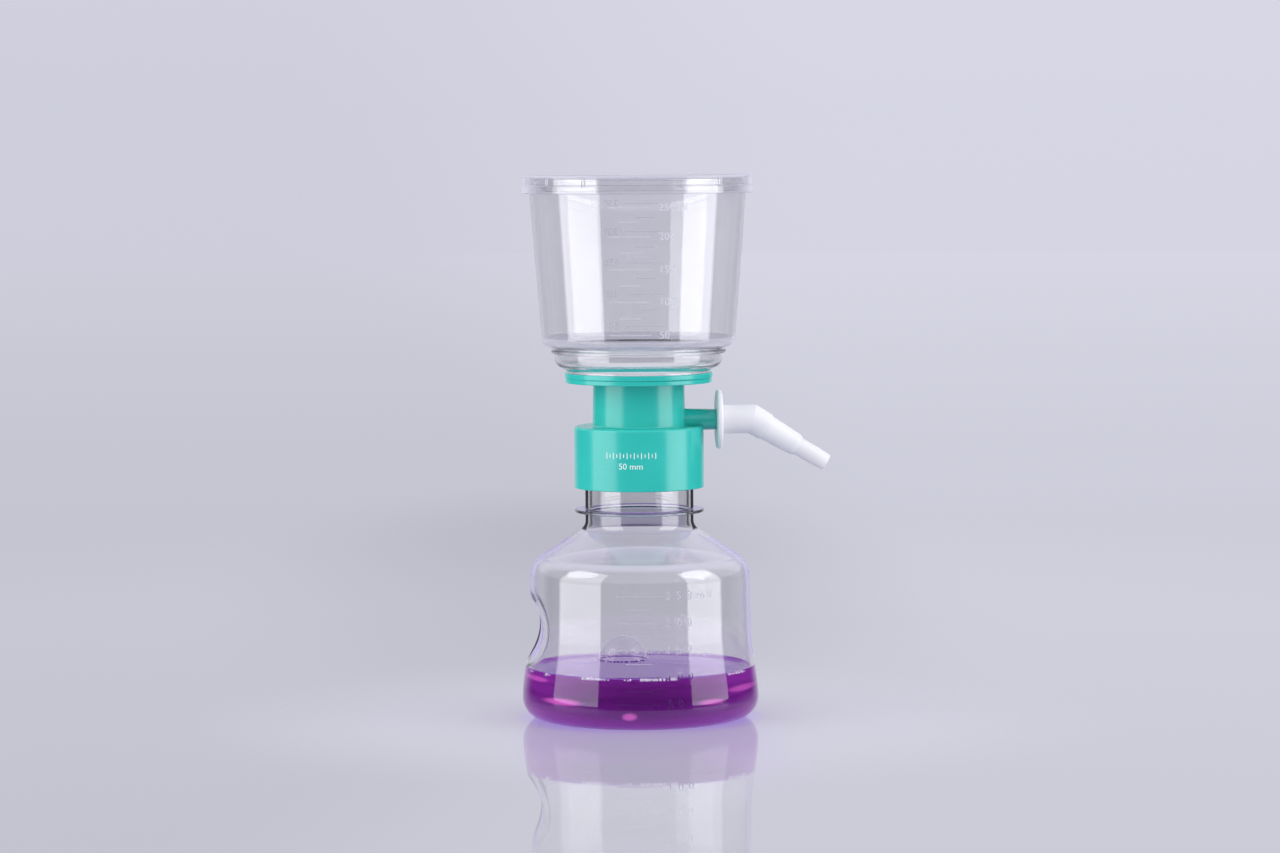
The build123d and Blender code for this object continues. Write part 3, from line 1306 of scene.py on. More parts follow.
@dataclass
class Scale:
    """A volume scale: numbered long lines with short ones half-way between.

    Attributes:
        name: The finished piece's name.
        heights: The numbered lines' heights in millimetres, from the lowest up.
        long: The numbered lines' length.
        short: The length of the lines between.
        ticks_at: How far along the surface from its azimuth the lines' middle is, in millimetres.
        words_at: How far along the surface from its azimuth the numbers start.
        digit: The height of a digit.
        spacing: How far the letters are apart, as a share of the usual.
        step: The volume from one number to the next.
        unit: What follows the highest number.
        line: How thick the lines are.
    """

    name: str
    heights: Sequence[float]
    long: float
    short: float
    ticks_at: float
    words_at: float
    digit: float = 2.9
    spacing: float = 1.0
    step: int = 50
    unit: str = " ml"
    line: float = 0.22

    def build(self, marker_at: Callable[[float], Marker], azimuths: Sequence[float]) -> Piece:
        """Put the scale on its surface.

        Args:
            marker_at: Gives the marker for a height.
            azimuths: Where round the surface the scale stands, once or more.

        Returns:
            The finished scale, as one object.
        """
        marks = []
        for azimuth in azimuths:
            for index, height in enumerate(self.heights):
                marker = marker_at(height)
                last = index == len(self.heights) - 1
                text = f"{(index + 1) * self.step}{self.unit if last else ''}"
                words = Wording(text, self.digit, self.spacing).cut()
                marks.append(marker.stand(words, height, azimuth, self.words_at))
                marks.append(marker.stand(Tick(self.long, self.line).cut(), height, azimuth, self.ticks_at))
                if not last:
                    between = (height + self.heights[index + 1]) / 2
                    tick = Tick(self.short, self.line).cut()
                    marks.append(marker_at(between).stand(tick, between, azimuth, self.ticks_at))
        return smooth(unite(marks, self.name), MARK_ANGLE)


# --- sub-assemblies -------------------------------------------------------------------------------


def dress(piece: Piece, material: Material) -> Piece:
    """Give every face of a piece one material.

    Args:
        piece: The piece.
        material: The material.

    Returns:
        The piece.
    """
    piece.data.materials.clear()
    piece.data.materials.append(material)
    return piece


def carry(node: str, material: Material) -> None:
    """Keep a CAD node as it is, with a new finish in each of its material slots.

    Args:
        node: The name of the CAD node.
        material: The finish.
    """
    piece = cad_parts[node]
    for material_slot in piece.material_slots:
        material_slot.material = material
    LOG.info("%s keeps its CAD shape", node)


def seat(piece: Piece, body: str, slot: str, *replaced: str) -> None:
    """Make a finished piece ride on its body.

    Args:
        piece: The finished piece.
        body: The CAD body that it moves with.
        slot: The record's material slot, which is not used.
        *replaced: CAD nodes that it stands for.
    """
    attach(piece, body)
    if replaced:
        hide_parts(*replaced)
    LOG.info("%s rides on %s, %d faces", piece.name, body, len(piece.data.polygons))


def extent(node: str) -> tuple[Vector, Vector]:
    """A CAD node's lowest and highest corners, in millimetres."""
    low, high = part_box(node)
    return low / MM, high / MM


@dataclass(frozen=True)
class Grip:
    """The level groove pressed across the bottle's side for a finger.

    Attributes:
        height: The height of its middle in millimetres.
        depth: How far in it is pressed.
        radius: The radius of its hollow.
        softness: How wide its soft edge is.
        reach: How far above and below its middle the wall needs a finer mesh.
    """

    height: float = 34.5
    depth: float = 4.4
    radius: float = 17.2
    softness: float = 1.7
    reach: float = 14.0

    def press(self, piece: Piece, side: float, skin: Callable[[Vector], float]) -> None:
        """Push the skin of a piece in, where it stands in the groove's way.

        Operators have no soft-edged press, so the vertices are moved one by one.

        Args:
            piece: The piece to press into.
            side: The unpressed radius at the groove's height, in millimetres.
            skin: How far inside the bottle's outer surface a vertex lies, in millimetres.
        """
        middle = -(side - self.depth + self.radius)
        for vertex in piece.data.vertices:
            at = vertex.co / MM
            reach = (self.radius + skin(at)) ** 2 - (at.z - self.height) ** 2
            if at.x > 0 or reach <= 0:
                continue
            groove = middle + math.sqrt(reach)
            near = max(self.softness - abs(at.x - groove), 0.0) / self.softness
            vertex.co.x = (max(at.x, groove) + near * near * self.softness / 4) * MM


@dataclass
class Bottle:
    """The clear bottle: a flared body with a grip, a shoulder, and a threaded neck with a ring.

    Attributes:
        wall: The wall's thickness.
        heel: The rounding at the body's foot.
        flare_foot: The height where the body starts to get narrower.
        flare_head: The height where it has stopped.
        flare_round: The rounding at both.
        taper: How much narrower the body gets there, as a radius.
        shoulder_taper: How much narrower it gets from there to the shoulder.
        shoulder_round: The rounding at the shoulder's edge.
        slope: The slope of the shoulder in degrees.
        neck: The neck's radius.
        neck_foot: The height where the shoulder meets the neck.
        neck_round: The rounding there.
        foot_width: How wide the ring is that the bottle stands on.
        foot_lift: How far the base's middle is raised.
        foot_round: The rounding at its edge.
        ring: The neck ring's radius.
        ring_top: The height of its upper face.
        ring_thickness: How thick it is.
        edge: The rounding of a sharp edge.
        pitch: How far one turn of the thread rises.
        thread_height: How far the thread stands out.
        thread_foot: How thick it is at the neck.
        thread_crest: How thick it is at its crest.
        thread_drop: How far below the rim it starts.
        thread_round: The rounding of its crest.
        thread_root: How far it reaches into the neck.
        turns: How many turns it makes.
        grip: The groove for a finger.
    """

    wall: float = 1.5
    heel: float = 8.0
    flare_foot: float = 11.0
    flare_head: float = 31.0
    flare_round: float = 40.0
    taper: float = 2.75
    shoulder_taper: float = 0.5
    shoulder_round: float = 9.0
    slope: float = 33.5
    neck: float = 20.2
    neck_foot: float = 72.0
    neck_round: float = 3.5
    foot_width: float = 5.7
    foot_lift: float = 1.8
    foot_round: float = 2.0
    ring: float = 24.2
    ring_top: float = 78.5
    ring_thickness: float = 1.2
    edge: float = 0.3
    pitch: float = 4.0
    thread_height: float = 2.0
    thread_foot: float = 1.9
    thread_crest: float = 1.0
    thread_drop: float = 12.5
    thread_round: float = 0.2
    thread_root: float = 0.25
    turns: float = 1.5
    grip: Grip = field(default_factory=Grip)

    def __post_init__(self) -> None:
        """Take the widest radius and the rim's height from the CAD model."""
        _, high = extent("bottle")
        self.body = high.y
        self.rim = high.z
        self.head = self.body - self.taper

    def slope_at(self, radius: float, skin: float) -> float:
        """Height of the sloping shoulder at a radius, for a surface that lies skin inside the outer one."""
        slope = math.radians(self.slope)
        return self.neck_foot - (radius - self.neck) * math.tan(slope) - skin / math.cos(slope)

    def side(self, skin: float) -> list[Corner]:
        """The outline from the base's middle to the neck's foot.

        Args:
            skin: How far inside the bottle's outer surface the outline lies.

        Returns:
            The corners, from the bottom up.
        """
        foot = self.body - self.heel - self.foot_width
        shoulder = self.head - self.shoulder_taper
        return [
            Corner(0, self.foot_lift + skin),
            Corner(foot - 2 * self.foot_lift, self.foot_lift + skin, self.foot_round),
            Corner(foot, skin, self.foot_round),
            Corner(self.body - skin, skin, self.heel - skin),
            Corner(self.body - skin, self.flare_foot, self.flare_round),
            Corner(self.head - skin, self.flare_head, self.flare_round),
            Corner(shoulder - skin, self.slope_at(shoulder - skin, skin), self.shoulder_round - skin),
            Corner(self.neck - skin, self.slope_at(self.neck - skin, skin), self.neck_round + skin),
        ]

    def outline(self) -> list[Corner]:
        """Draw up the whole outline.

        Returns:
            The corners, up the outside and down the inside.
        """
        ring_foot, _ = self.ring_heights
        ring_round = self.ring_thickness * 0.45
        neck = [
            Corner(self.neck, ring_foot, self.edge),
            Corner(self.ring, ring_foot, ring_round),
            Corner(self.ring, self.ring_top, ring_round),
            Corner(self.neck, self.ring_top, self.edge),
            Corner(self.neck, self.rim - self.thread_drop - self.thread_foot),
            Corner(self.neck, self.rim, self.edge),
            Corner(self.neck - self.wall, self.rim, self.edge),
        ]
        return self.side(0.0) + neck + self.side(self.wall)[::-1]

    def skin_at(self, at: Vector) -> float:
        """Tell the two sides of the wall apart.

        Args:
            at: A vertex of the wall, in millimetres.

        Returns:
            How far inside the outer surface it lies: nothing, or the wall's thickness.
        """
        rise = (at.z - self.flare_foot) / (self.flare_head - self.flare_foot)
        outer = self.body - self.taper * min(max(rise, 0.0), 1.0)
        return 0.0 if math.hypot(at.x, at.y) > outer - self.wall / 2 else self.wall

    def thread(self) -> Piece:
        """Wind the neck's screw thread.

        Returns:
            One closed ridge, which reaches a little into the neck.
        """
        half_foot, half_crest = self.thread_foot / 2, self.thread_crest / 2
        start = self.rim - self.thread_drop
        ridge = Turned(
            (
                Corner(self.neck - self.thread_root, start - half_foot),
                Corner(self.neck + self.thread_height, start - half_crest, self.thread_round),
                Corner(self.neck + self.thread_height, start + half_crest, self.thread_round),
                Corner(self.neck - self.thread_root, start + half_foot),
            ),
            closed=True,
        ).draw("thread")
        with editing(ridge):
            bpy.ops.mesh.select_all(action="SELECT")
            bpy.ops.mesh.edge_face_add()
        modify(
            ridge,
            "SCREW",
            angle=math.tau * self.turns,
            screw_offset=self.pitch * self.turns * MM,
            steps=THREAD_STEPS,
            render_steps=THREAD_STEPS,
            use_merge_vertices=True,
        )
        with editing(ridge):
            seal()
        return ridge

    def build(self) -> Piece:
        """Turn the bottle, press its grip and add its thread.

        Returns:
            The finished bottle.
        """
        zone = (self.grip.height - self.grip.reach, self.grip.height + self.grip.reach, FINE_EDGE)
        bottle = Turned(self.outline(), fine=(zone,)).make("clear_bottle")
        self.grip.press(bottle, self.head, self.skin_at)
        ridge = self.thread()
        modify(bottle, "BOOLEAN", operation="UNION", object=ridge, solver="EXACT")
        hold(ridge)
        bpy.ops.object.delete()
        # painted bands and a painted ring of light on the bottle's clear plastic
        plastic = ClearPlastic(brim=extent("liquid")[1].z * MM, edges=self.edges(), ring=self.ring_heights)
        return dress(smooth(bottle), plastic.material("clear bottle plastic"))

    @property
    def ring_heights(self) -> tuple[float, float]:
        """The ring's lower and upper face."""
        return self.ring_top - self.ring_thickness, self.ring_top

    def edges(self) -> tuple[Edge, ...]:
        """Say where painted shade, painted reflections and painted pale covers lie on the wall.

        Returns:
            Painted lavender at the body's sides, a painted pale cover on the neck's far wall, painted dark
            reflections at the neck's sides, and painted shade along the grip.
        """
        foot, grip = self.neck_foot, self.grip.height
        under, over = self.ring_heights
        sides_foot = 24.0
        painted_lavender, pale = srgb(178, 160, 228), srgb(200, 200, 212)
        return (
            # painted lavender light along the body's sides
            Edge(sides_foot, foot - 4, 0.66, 0.96, most=0.5, colour=painted_lavender),
            # a painted pale cover over the neck's far wall, where it showed dark
            Edge(foot - 1.6, under - 0.5, 0.0, 1.0, least=0.45, most=0.45, back=5, colour=pale),
            # painted dark reflections at the neck's sides, under and over the ring
            Edge(foot - 0.9, under - 0.3, 0.65, 0.71, least=0.04),
            Edge(over + 0.3, over + 10, 0.65, 0.71, least=0.06),
            # painted shade along the grip's groove
            Edge(grip - 13, grip + 12.5, 0.8, 0.89, side=-30, back=4),
        )


@dataclass
class Contents:
    """The violet filtrate in the bottle, with its bubbles.

    Attributes:
        bottle: The bottle.
        overlap: How far the liquid reaches into the wall, so that no air lies between.
        rise: How much higher it stands at the wall.
        dome: The large bubble's radius.
        dome_at: Its X and Y.
        dome_sink: How far its skin reaches into the liquid.
        film: How thick its skin is.
        fillet: How thick the ring of liquid round its foot is, as a radius.
        seed: Where the random draws start.
        runs: Where foam lies along the wall: from one azimuth to another, and how many beads.
        bead_sizes: The least and the greatest radius of those beads.
        dome_beads: How many beads lie round the large bubble.
        dome_bead_sizes: The least and the greatest radius of those beads.
        waterline: The steps from the wall in to the level: how wide each is, and how far it drops.
    """

    bottle: Bottle
    overlap: float = 0.08
    rise: float = 0.9
    dome: float = 9.2
    dome_at: tuple[float, float] = (-5.6, 22.3)
    dome_sink: float = 0.3
    film: float = 0.06
    fillet: float = 0.32
    seed: int = 7
    runs: tuple[tuple[float, float, int], ...] = (
        (-31, -16, 34),
        (-8, -5, 3),
        (0, 19, 42),
        (-56, -50, 4),
        (-72, -68, 3),
        (50, 66, 26),
        (140, 215, 70),
    )
    bead_sizes: tuple[float, float] = (0.24, 0.62)
    dome_beads: int = 36
    dome_bead_sizes: tuple[float, float] = (0.18, 0.45)
    waterline: tuple[tuple[float, float], ...] = (
        (0.35, 0.45),
        (0.5, 0.27),
        (0.8, 0.15),
        (1.2, 0.03),
        (4.0, 0.0),
        (10.0, 0.0),
    )

    def __post_init__(self) -> None:
        """Take the liquid's level from the CAD model."""
        self.brim = extent("liquid")[1].z
        self.level = self.brim - self.rise

    def build_liquid(self) -> Piece:
        """Turn the liquid out of the bottle's inside, and draw its edge up the wall.

        Returns:
            The finished liquid.
        """
        skin = self.bottle.wall - self.overlap
        side = self.bottle.side(skin)
        top = Corner(0, side[-1].height)
        liquid = Turned([*side, top], fine=((4, 40, FINE_EDGE),)).make("filtrate")
        self.bottle.grip.press(liquid, self.bottle.head, lambda at: skin)
        brim = self.brim * MM
        with editing(liquid, Kind.FACE):
            bpy.ops.mesh.select_all(action="SELECT")
            bpy.ops.mesh.bisect(plane_co=(0, 0, brim), plane_no=(0, 0, 1), clear_outer=True, use_fill=True)
            pick(liquid, Kind.FACE, lambda at: at.z > brim - SAME_PLACE)
            for width, drop in self.waterline:
                bpy.ops.mesh.inset(thickness=width * MM, depth=-drop * MM)
        return dress(smooth(liquid, LIQUID_ANGLE), Filtrate().material("violet filtrate"))

    def build_dome(self) -> Piece:
        """Blow the one large bubble that stands on the liquid.

        Returns:
            The finished bubble.
        """
        deselect()
        place = Vector((*self.dome_at, self.level)) * MM
        radius = self.dome * MM
        bpy.ops.mesh.primitive_uv_sphere_add(segments=64, ring_count=32, radius=radius, location=place)
        dome = christen("large_bubble")
        with editing(dome, Kind.FACE):
            bpy.ops.mesh.select_all(action="SELECT")
            foot = place + Vector((0, 0, -self.dome_sink * MM))
            bpy.ops.mesh.bisect(plane_co=foot, plane_no=(0, 0, -1), clear_outer=True)
        modify(dome, "SOLIDIFY", thickness=self.film * MM, offset=-1.0)
        return dress(smooth(dome, BUBBLE_ANGLE), BubbleFilm().material("bubble film"))

    def build_dome_foot(self) -> Piece:
        """Draw the liquid up round the large bubble's foot.

        Returns:
            The ring of liquid.
        """
        deselect()
        place = Vector((*self.dome_at, self.level + 0.1)) * MM
        bpy.ops.mesh.primitive_torus_add(
            location=place,
            major_segments=72,
            minor_segments=12,
            major_radius=(self.dome - 0.05) * MM,
            minor_radius=self.fillet * MM,
        )
        drawn_up = Foam(srgb(112, 44, 160), srgb(136, 66, 184)).material("drawn-up liquid")
        return dress(smooth(christen("large_bubble_foot"), BUBBLE_ANGLE), drawn_up)

    def build_foam(self) -> Piece:
        """Scatter beads of foam along the liquid's edge and round the large bubble.

        Returns:
            The beads, as one object.
        """
        chance = random.Random(self.seed)
        wall = self.bottle.body - self.bottle.wall - 0.9
        beads = []
        for start, end, count in self.runs:
            for _ in range(count):
                reach = wall - abs(chance.gauss(0.0, 0.9))
                at = direction(FRONT + chance.uniform(start, end)) * reach
                beads.append(self.bead(at, chance.uniform(*self.bead_sizes)))
        centre = Vector((*self.dome_at, 0.0))
        for _ in range(self.dome_beads):
            around = direction(chance.uniform(0, 360)) * (self.dome + abs(chance.gauss(0.2, 0.7)))
            beads.append(self.bead(centre + around, chance.uniform(*self.dome_bead_sizes)))
        return dress(smooth(unite(beads, "foam_beads"), BEAD_ANGLE), Foam().material("foam"))

    def bead(self, at: Vector, radius: float) -> Piece:
        """Add one bead of foam on the liquid.

        Args:
            at: Its X and Y in millimetres.
            radius: Its radius in millimetres.

        Returns:
            The bead.
        """
        deselect()
        place = Vector((at.x, at.y, self.level + radius * 0.5)) * MM
        bpy.ops.mesh.primitive_ico_sphere_add(subdivisions=1, radius=radius * MM, location=place)
        return bpy.context.object


@dataclass
class Funnel:
    """The clear funnel: a flared cup on a bowl, which stands on the green flange.

    Attributes:
        wall: The wall's thickness.
        seat_bore: The radius of the hole in its foot.
        seat_width: How wide the foot is.
        seat_height: How high the foot is.
        bowl: The bowl's radius.
        bowl_rise: How far the bowl's floor rises from the foot to its side.
        bowl_height: The height of the bead over the foot.
        bowl_round: The rounding of the bowl's floor.
        bead: The radius of the bead round the bowl.
        bead_height: How high the bead is.
        bead_round: The rounding of the bead.
        foot: The cup's radius at its floor.
        foot_gap: The height of the cup's floor over the bead.
        foot_round: The rounding at the cup's floor.
        mouth: The cup's radius at its rim.
        lip_height: How high its lip is.
        edge: The rounding of a sharp edge.
        marks_foot: The height where the cone that the marks are laid from is measured.
        marks_radius: Its radius there.
        marks_lean: How much wider it gets, for each millimetre that it rises.
    """

    wall: float = 1.5
    seat_bore: float = 23.6
    seat_width: float = 3.2
    seat_height: float = 0.8
    bowl: float = 31.3
    bowl_rise: float = 2.4
    bowl_height: float = 7.4
    bowl_round: float = 3.5
    bead: float = 32.7
    bead_height: float = 1.3
    bead_round: float = 0.5
    foot: float = 35.85
    foot_gap: float = 0.8
    foot_round: float = 3.5
    mouth: float = 40.8
    lip_height: float = 2.5
    edge: float = 0.3
    marks_foot: float = 139.0
    marks_radius: float = 36.0
    marks_lean: float = 0.0786

    def __post_init__(self) -> None:
        """Take the seat, the rim and the lip from the CAD model."""
        low, high = extent("funnel")
        self.base, self.rim, self.lip = low.z, high.z, high.y

    def outline(self) -> list[Corner]:
        """Draw up the closed outline.

        Returns:
            The corners, up the outside and down the inside.
        """
        bowl_foot = self.base + self.seat_height
        bead = self.base + self.bowl_height
        bead_top = bead + self.bead_height
        floor = bead_top + self.foot_gap
        lean = (self.mouth - self.foot) / (self.rim - floor)
        inner_bowl = self.bowl - self.wall
        return [
            Corner(self.seat_bore, self.base),
            Corner(self.seat_bore + self.seat_width, self.base),
            Corner(self.seat_bore + self.seat_width, bowl_foot, self.edge),
            Corner(self.bowl, bowl_foot + self.bowl_rise, self.bowl_round),
            Corner(self.bowl, bead, self.edge),
            Corner(self.bead, bead, self.bead_round),
            Corner(self.bead, bead_top, self.bead_round),
            Corner(self.bowl, bead_top, self.edge),
            Corner(self.bowl, floor, self.edge),
            Corner(self.foot, floor, self.foot_round),
            Corner(self.mouth - lean * self.lip_height, self.rim - self.lip_height, self.edge / 2),
            Corner(self.lip, self.rim - self.lip_height, self.edge),
            Corner(self.lip, self.rim, self.edge),
            Corner(self.mouth - self.wall, self.rim, self.edge),
            Corner(self.foot - self.wall, floor + self.wall, self.foot_round - self.wall),
            Corner(inner_bowl, floor + self.wall, self.bead_round),
            Corner(inner_bowl, bowl_foot + self.bowl_rise + self.wall / 2, self.bowl_round - self.wall),
            Corner(self.seat_bore, bowl_foot + self.wall * 0.7, self.bead_round),
        ]

    def build(self) -> Piece:
        """Turn the funnel.

        Returns:
            The finished funnel.
        """
        funnel = smooth(Turned(self.outline(), closed=True).make("clear_funnel"))
        floor = self.base + self.bowl_height + self.bead_height + self.foot_gap + self.wall
        # a painted pale cover over the dark line at the cup's inner floor
        corner = Edge(floor - 0.3, floor + 2.4, 0.1, 0.6, least=0.32, most=0.5, colour=srgb(202, 201, 213))
        plastic = ClearPlastic(tint=(0.965, 0.965, 0.97), dullest=0.02, edges=(corner,))
        return dress(funnel, plastic.material("clear funnel plastic"))

    def marker_at(self, funnel: Piece, height: float) -> Marker:
        """A marker for marks at a height on the cup's leaning side."""
        return Marker(funnel, self.marks_radius + (height - self.marks_foot) * self.marks_lean)


@dataclass
class Lid:
    """The clear lid: a flat disc with a stepped skirt and pairs of fine ribs.

    Attributes:
        skirt_wall: The skirt's thickness.
        step: How far the upper skirt stands back from the lower.
        band: How high the lower skirt is.
        skirt: How high the lid is inside.
        rounding: The rounding of the upper edge.
        edge: The rounding of a sharp edge.
        steps: How many steps the spin has, so that one face is as wide as a rib.
        pairs: How many pairs of ribs there are.
        pair_at: The azimuth of the middle of one pair, in degrees.
        rib_offset: How far each rib of a pair stands from its middle, in degrees.
        rib_height: How high a rib is.
    """

    skirt_wall: float = 1.4
    step: float = 0.35
    band: float = 3.0
    skirt: float = 5.6
    rounding: float = 0.9
    edge: float = 0.3
    steps: int = 720
    pairs: int = 15
    pair_at: float = -6.25
    rib_offset: float = 0.75
    rib_height: float = 2.9

    def __post_init__(self) -> None:
        """Take the lid's heights and radius from the CAD model."""
        low, high = extent("lid")
        self.foot, self.top, self.outer = low.z, high.z, high.y

    def outline(self) -> list[Corner]:
        """Draw up the outline.

        Returns:
            The corners, from under the lid's middle to above it.
        """
        bore = self.outer - self.skirt_wall
        ceiling = self.foot + self.skirt
        band_top = self.foot + self.band
        upper = self.outer - self.step
        return [
            Corner(0, ceiling),
            Corner(bore, ceiling, self.edge),
            Corner(bore, self.foot),
            Corner(self.outer, self.foot, self.edge),
            Corner(self.outer, band_top, self.step / 2),
            Corner(upper, band_top, self.step / 3),
            Corner(upper, self.top, self.rounding),
            Corner(0, self.top),
        ]

    def in_rib(self, at: Vector) -> bool:
        """Tell whether a rib stands on a face of the upper skirt.

        Args:
            at: The face's middle, in metres.

        Returns:
            True for a face under a rib.
        """
        upper = (self.outer - self.step) * MM
        low = (self.foot + self.band) * MM
        if abs(math.hypot(at.x, at.y) - upper) > 0.1 * MM or not low < at.z < low + self.rib_height * MM:
            return False
        azimuth = math.degrees(math.atan2(at.x, -at.y))
        apart = 360 / self.pairs
        turn = (azimuth - self.pair_at + apart / 2) % apart - apart / 2
        half = 180 / self.steps
        return abs(abs(turn) - self.rib_offset) < half

    def build(self) -> Piece:
        """Turn the lid and raise its ribs.

        Returns:
            The finished lid.
        """
        lid = Turned(self.outline(), steps=self.steps).make("clear_lid")
        with editing(lid, Kind.FACE):
            LOG.info("the lid's ribs stand on %d faces", pick(lid, Kind.FACE, self.in_rib))
            bpy.ops.mesh.extrude_region_shrink_fatten(TRANSFORM_OT_shrink_fatten={"value": -self.step * MM})
        pale = srgb(210, 209, 221)
        # painted pale covers where the lid's top edge and its skirt are seen edge-on
        rim = Edge(self.top - 1.0, self.top + 1.0, 0.0, 0.3, least=0.5, most=0.65, colour=pale)
        skirt = Edge(self.foot - 1.0, self.top - 1.0, 0.35, 0.8, most=0.65, colour=pale)
        return dress(smooth(lid), ClearPlastic(edges=(rim, skirt)).material("clear lid plastic"))


# --- the studio -----------------------------------------------------------------------------------


@dataclass(frozen=True)
class SoftBox:
    """A tall soft lamp beside the table.

    Attributes:
        azimuth: Where it stands, in degrees.
        spread: How wide it looks from the unit, in degrees.
        away: Its distance in metres.
        low: The height of its lower edge.
        high: The height of its upper edge.
        radiance: How bright its face is.
        glint: How much brighter it is through the liquid, as a multiple.
        plain: How bright its face is where it is seen straight through clear plastic.
    """

    azimuth: float
    spread: float
    away: float = 0.45
    low: float = -0.012
    high: float = 0.56
    radiance: float = 2.1
    glint: float = 4.0
    plain: float = 0.5

    def hang(self, name: str) -> bpy.types.Object:
        """Set the lamp up, turned to the unit.

        Args:
            name: The lamp's name.

        Returns:
            The lamp.
        """
        place = direction(self.azimuth) * self.away + Vector((0, 0, (self.low + self.high) / 2))
        deselect()
        bpy.ops.object.light_add(type="AREA", location=place)
        lamp = bpy.context.object
        lamp.name = lamp.data.name = name
        lamp.rotation_euler = (math.pi / 2, 0, math.radians(self.azimuth))
        lamp.data.shape = "RECTANGLE"
        lamp.data.size = 2 * self.away * math.tan(math.radians(self.spread / 2))
        lamp.data.size_y = self.high - self.low
        lamp.data.energy = self.radiance * math.pi * lamp.data.size * lamp.data.size_y
        lamp.visible_camera = False
        recipe = Recipe(name, lamp.data)
        rays = Rays(recipe)
        strength = recipe.span(rays.seen_through(), 1.0, self.plain / self.radiance)
        # seen through the liquid, the lamps make bright violet glints
        strength = recipe.math("MULTIPLY_ADD", rays.through_liquid(), self.glint, strength)
        recipe.finish(recipe.shader("Emission", {"Strength": strength}))
        return lamp


@dataclass
class Studio:
    """A pale glossy table in a pale room, two tall soft lamps, and the camera.

    Attributes:
        distance: How far the camera stands from the bottle's axis, in metres.
        height: The camera's height in metres.
        lens: Its focal length in millimetres.
        roll: How far it leans, in degrees.
        aim: The height that it looks at, as a share of the unit's.
        aside: How far beside the axis it looks, in metres.
        floor_radius: The table's radius in metres.
        room_dark: How bright the dark parts of the room are.
        fill: How bright the room is for what is matt.
        near: The table's colour near the unit.
        cast: How strong the painted violet glow on the table before the unit is.
        halo: How strong the painted blue-violet glow round the bottle's foot is.
    """

    distance: float = 1.557
    height: float = 0.219
    lens: float = 117.45
    roll: float = -0.35
    aim: float = 0.5366
    aside: float = 0.0004
    floor_radius: float = 6.0
    room_dark: float = 0.03
    fill: float = 0.95
    near: Colour = srgb(196, 196, 205)
    cast: float = 0.45
    halo: float = 0.6

    def build_camera(self) -> None:
        """Set up the camera, and make it the scene's."""
        position = direction(FRONT) * self.distance + Vector((0, 0, self.height))
        low, high = CAD_BOUNDS
        target = direction(FRONT + 90) * self.aside + Vector((0, 0, low.z + self.aim * (high.z - low.z)))
        deselect()
        bpy.ops.object.camera_add(location=position)
        camera = bpy.context.object
        look = (target - position).to_track_quat("-Z", "Y")
        camera.rotation_euler = look.to_euler()
        camera.rotation_euler.rotate_axis("Z", math.radians(self.roll))
        camera.data.lens = self.lens
        camera.data.sensor_width = 36.0
        camera.data.clip_start = 0.05
        camera.data.clip_end = 100.0
        bpy.context.scene.camera = camera

    def build_world(self) -> None:
        """Paint the room: pale behind the table, dark to the sides for gloss, and soft light for matt skins.

        The ranges are of a direction's X, Y and Z, from -1 to 1.
        """
        world = bpy.data.worlds.new("room")
        bpy.context.scene.world = world
        recipe = Recipe("room", world)
        across, depth, height = recipe.split(recipe.add("TexCoord").outputs["Generated"])
        horizon = recipe.span(height, 0.0, 1.0, -0.03, 0.04)
        stops = ((0.0, srgb(206, 205, 219)), (0.5, srgb(206, 206, 220)), (1.0, srgb(209, 208, 222)))
        wall = recipe.ramp(horizon, stops)
        right = recipe.smooth_span(across, 1.0, 1.085, -0.04, 0.11)
        rays = Rays(recipe)
        # what an outer skin mirrors sees a dark room, apart from the backdrop and what is overhead
        beside = recipe.times(recipe.fall(depth, 0.7, 0.97), recipe.fall(height, 0.16, 0.24))
        outside = recipe.times(beside, rays.under(1, "Transmission"))
        # and so does what the inside of a wall mirrors down, up to the front, or level to the sides
        aside = recipe.fall(depth, 0.4, 0.75)
        down = recipe.times(aside, recipe.fall(height, -0.05, 0.0))
        band = recipe.times(recipe.rise(height, 0.08, 0.12), recipe.fall(height, 0.2, 0.3))
        front = recipe.times(recipe.fall(depth, -0.3, 0.1), rays.now("Transmission"), band)
        level = recipe.fall(recipe.math("ABSOLUTE", height), 0.15, 0.4)
        inside = recipe.times(rays.caught_inside(), level, aside)
        steep = recipe.rise(height, -0.5, -0.35)
        dark = recipe.times(recipe.most(outside, down, front, inside), rays.mirrored_dry(1), steep)
        strength = recipe.times(recipe.span(dark, 1.0, self.room_dark), right)
        plain = recipe.shader("Background", {"Color": wall, "Strength": strength})
        soft = recipe.shader("Background", {"Color": srgb(240, 240, 246), "Strength": self.fill})
        seen = recipe.most(*(rays.now(kind) for kind in ("Camera", "Glossy", "Transmission")))
        recipe.finish(recipe.join(seen, soft, plain))

    def build_floor(self) -> None:
        """Lay the table: lit and glossy near the unit, with painted violet glows by its foot, and fading
        into the room's colour further off.

        The ranges are in metres.
        """
        deselect()
        bpy.ops.mesh.primitive_circle_add(vertices=128, radius=self.floor_radius, fill_type="NGON")
        recipe = Recipe("table top")
        away = recipe.vector("LENGTH", {0: recipe.place()})
        across, depth, _ = recipe.split()
        aside = recipe.math("ABSOLUTE", across)
        matt = recipe.shader("BsdfDiffuse", {"Color": self.near})
        base = recipe.join(recipe.rise(away, 0.06, 0.19), matt, self.far_glow(recipe))
        # painted light: a violet glow on the table before the unit, for light that has crossed the liquid
        before = recipe.times(recipe.rise(depth, -0.21, -0.05), recipe.fall(depth, -0.04, 0.0))
        painted_beam = recipe.times(recipe.smooth_span(aside, self.cast, 0.0, 0.034, 0.056), before)
        base = recipe.join(painted_beam, base, recipe.shader("Emission", {"Color": srgb(200, 186, 232)}))
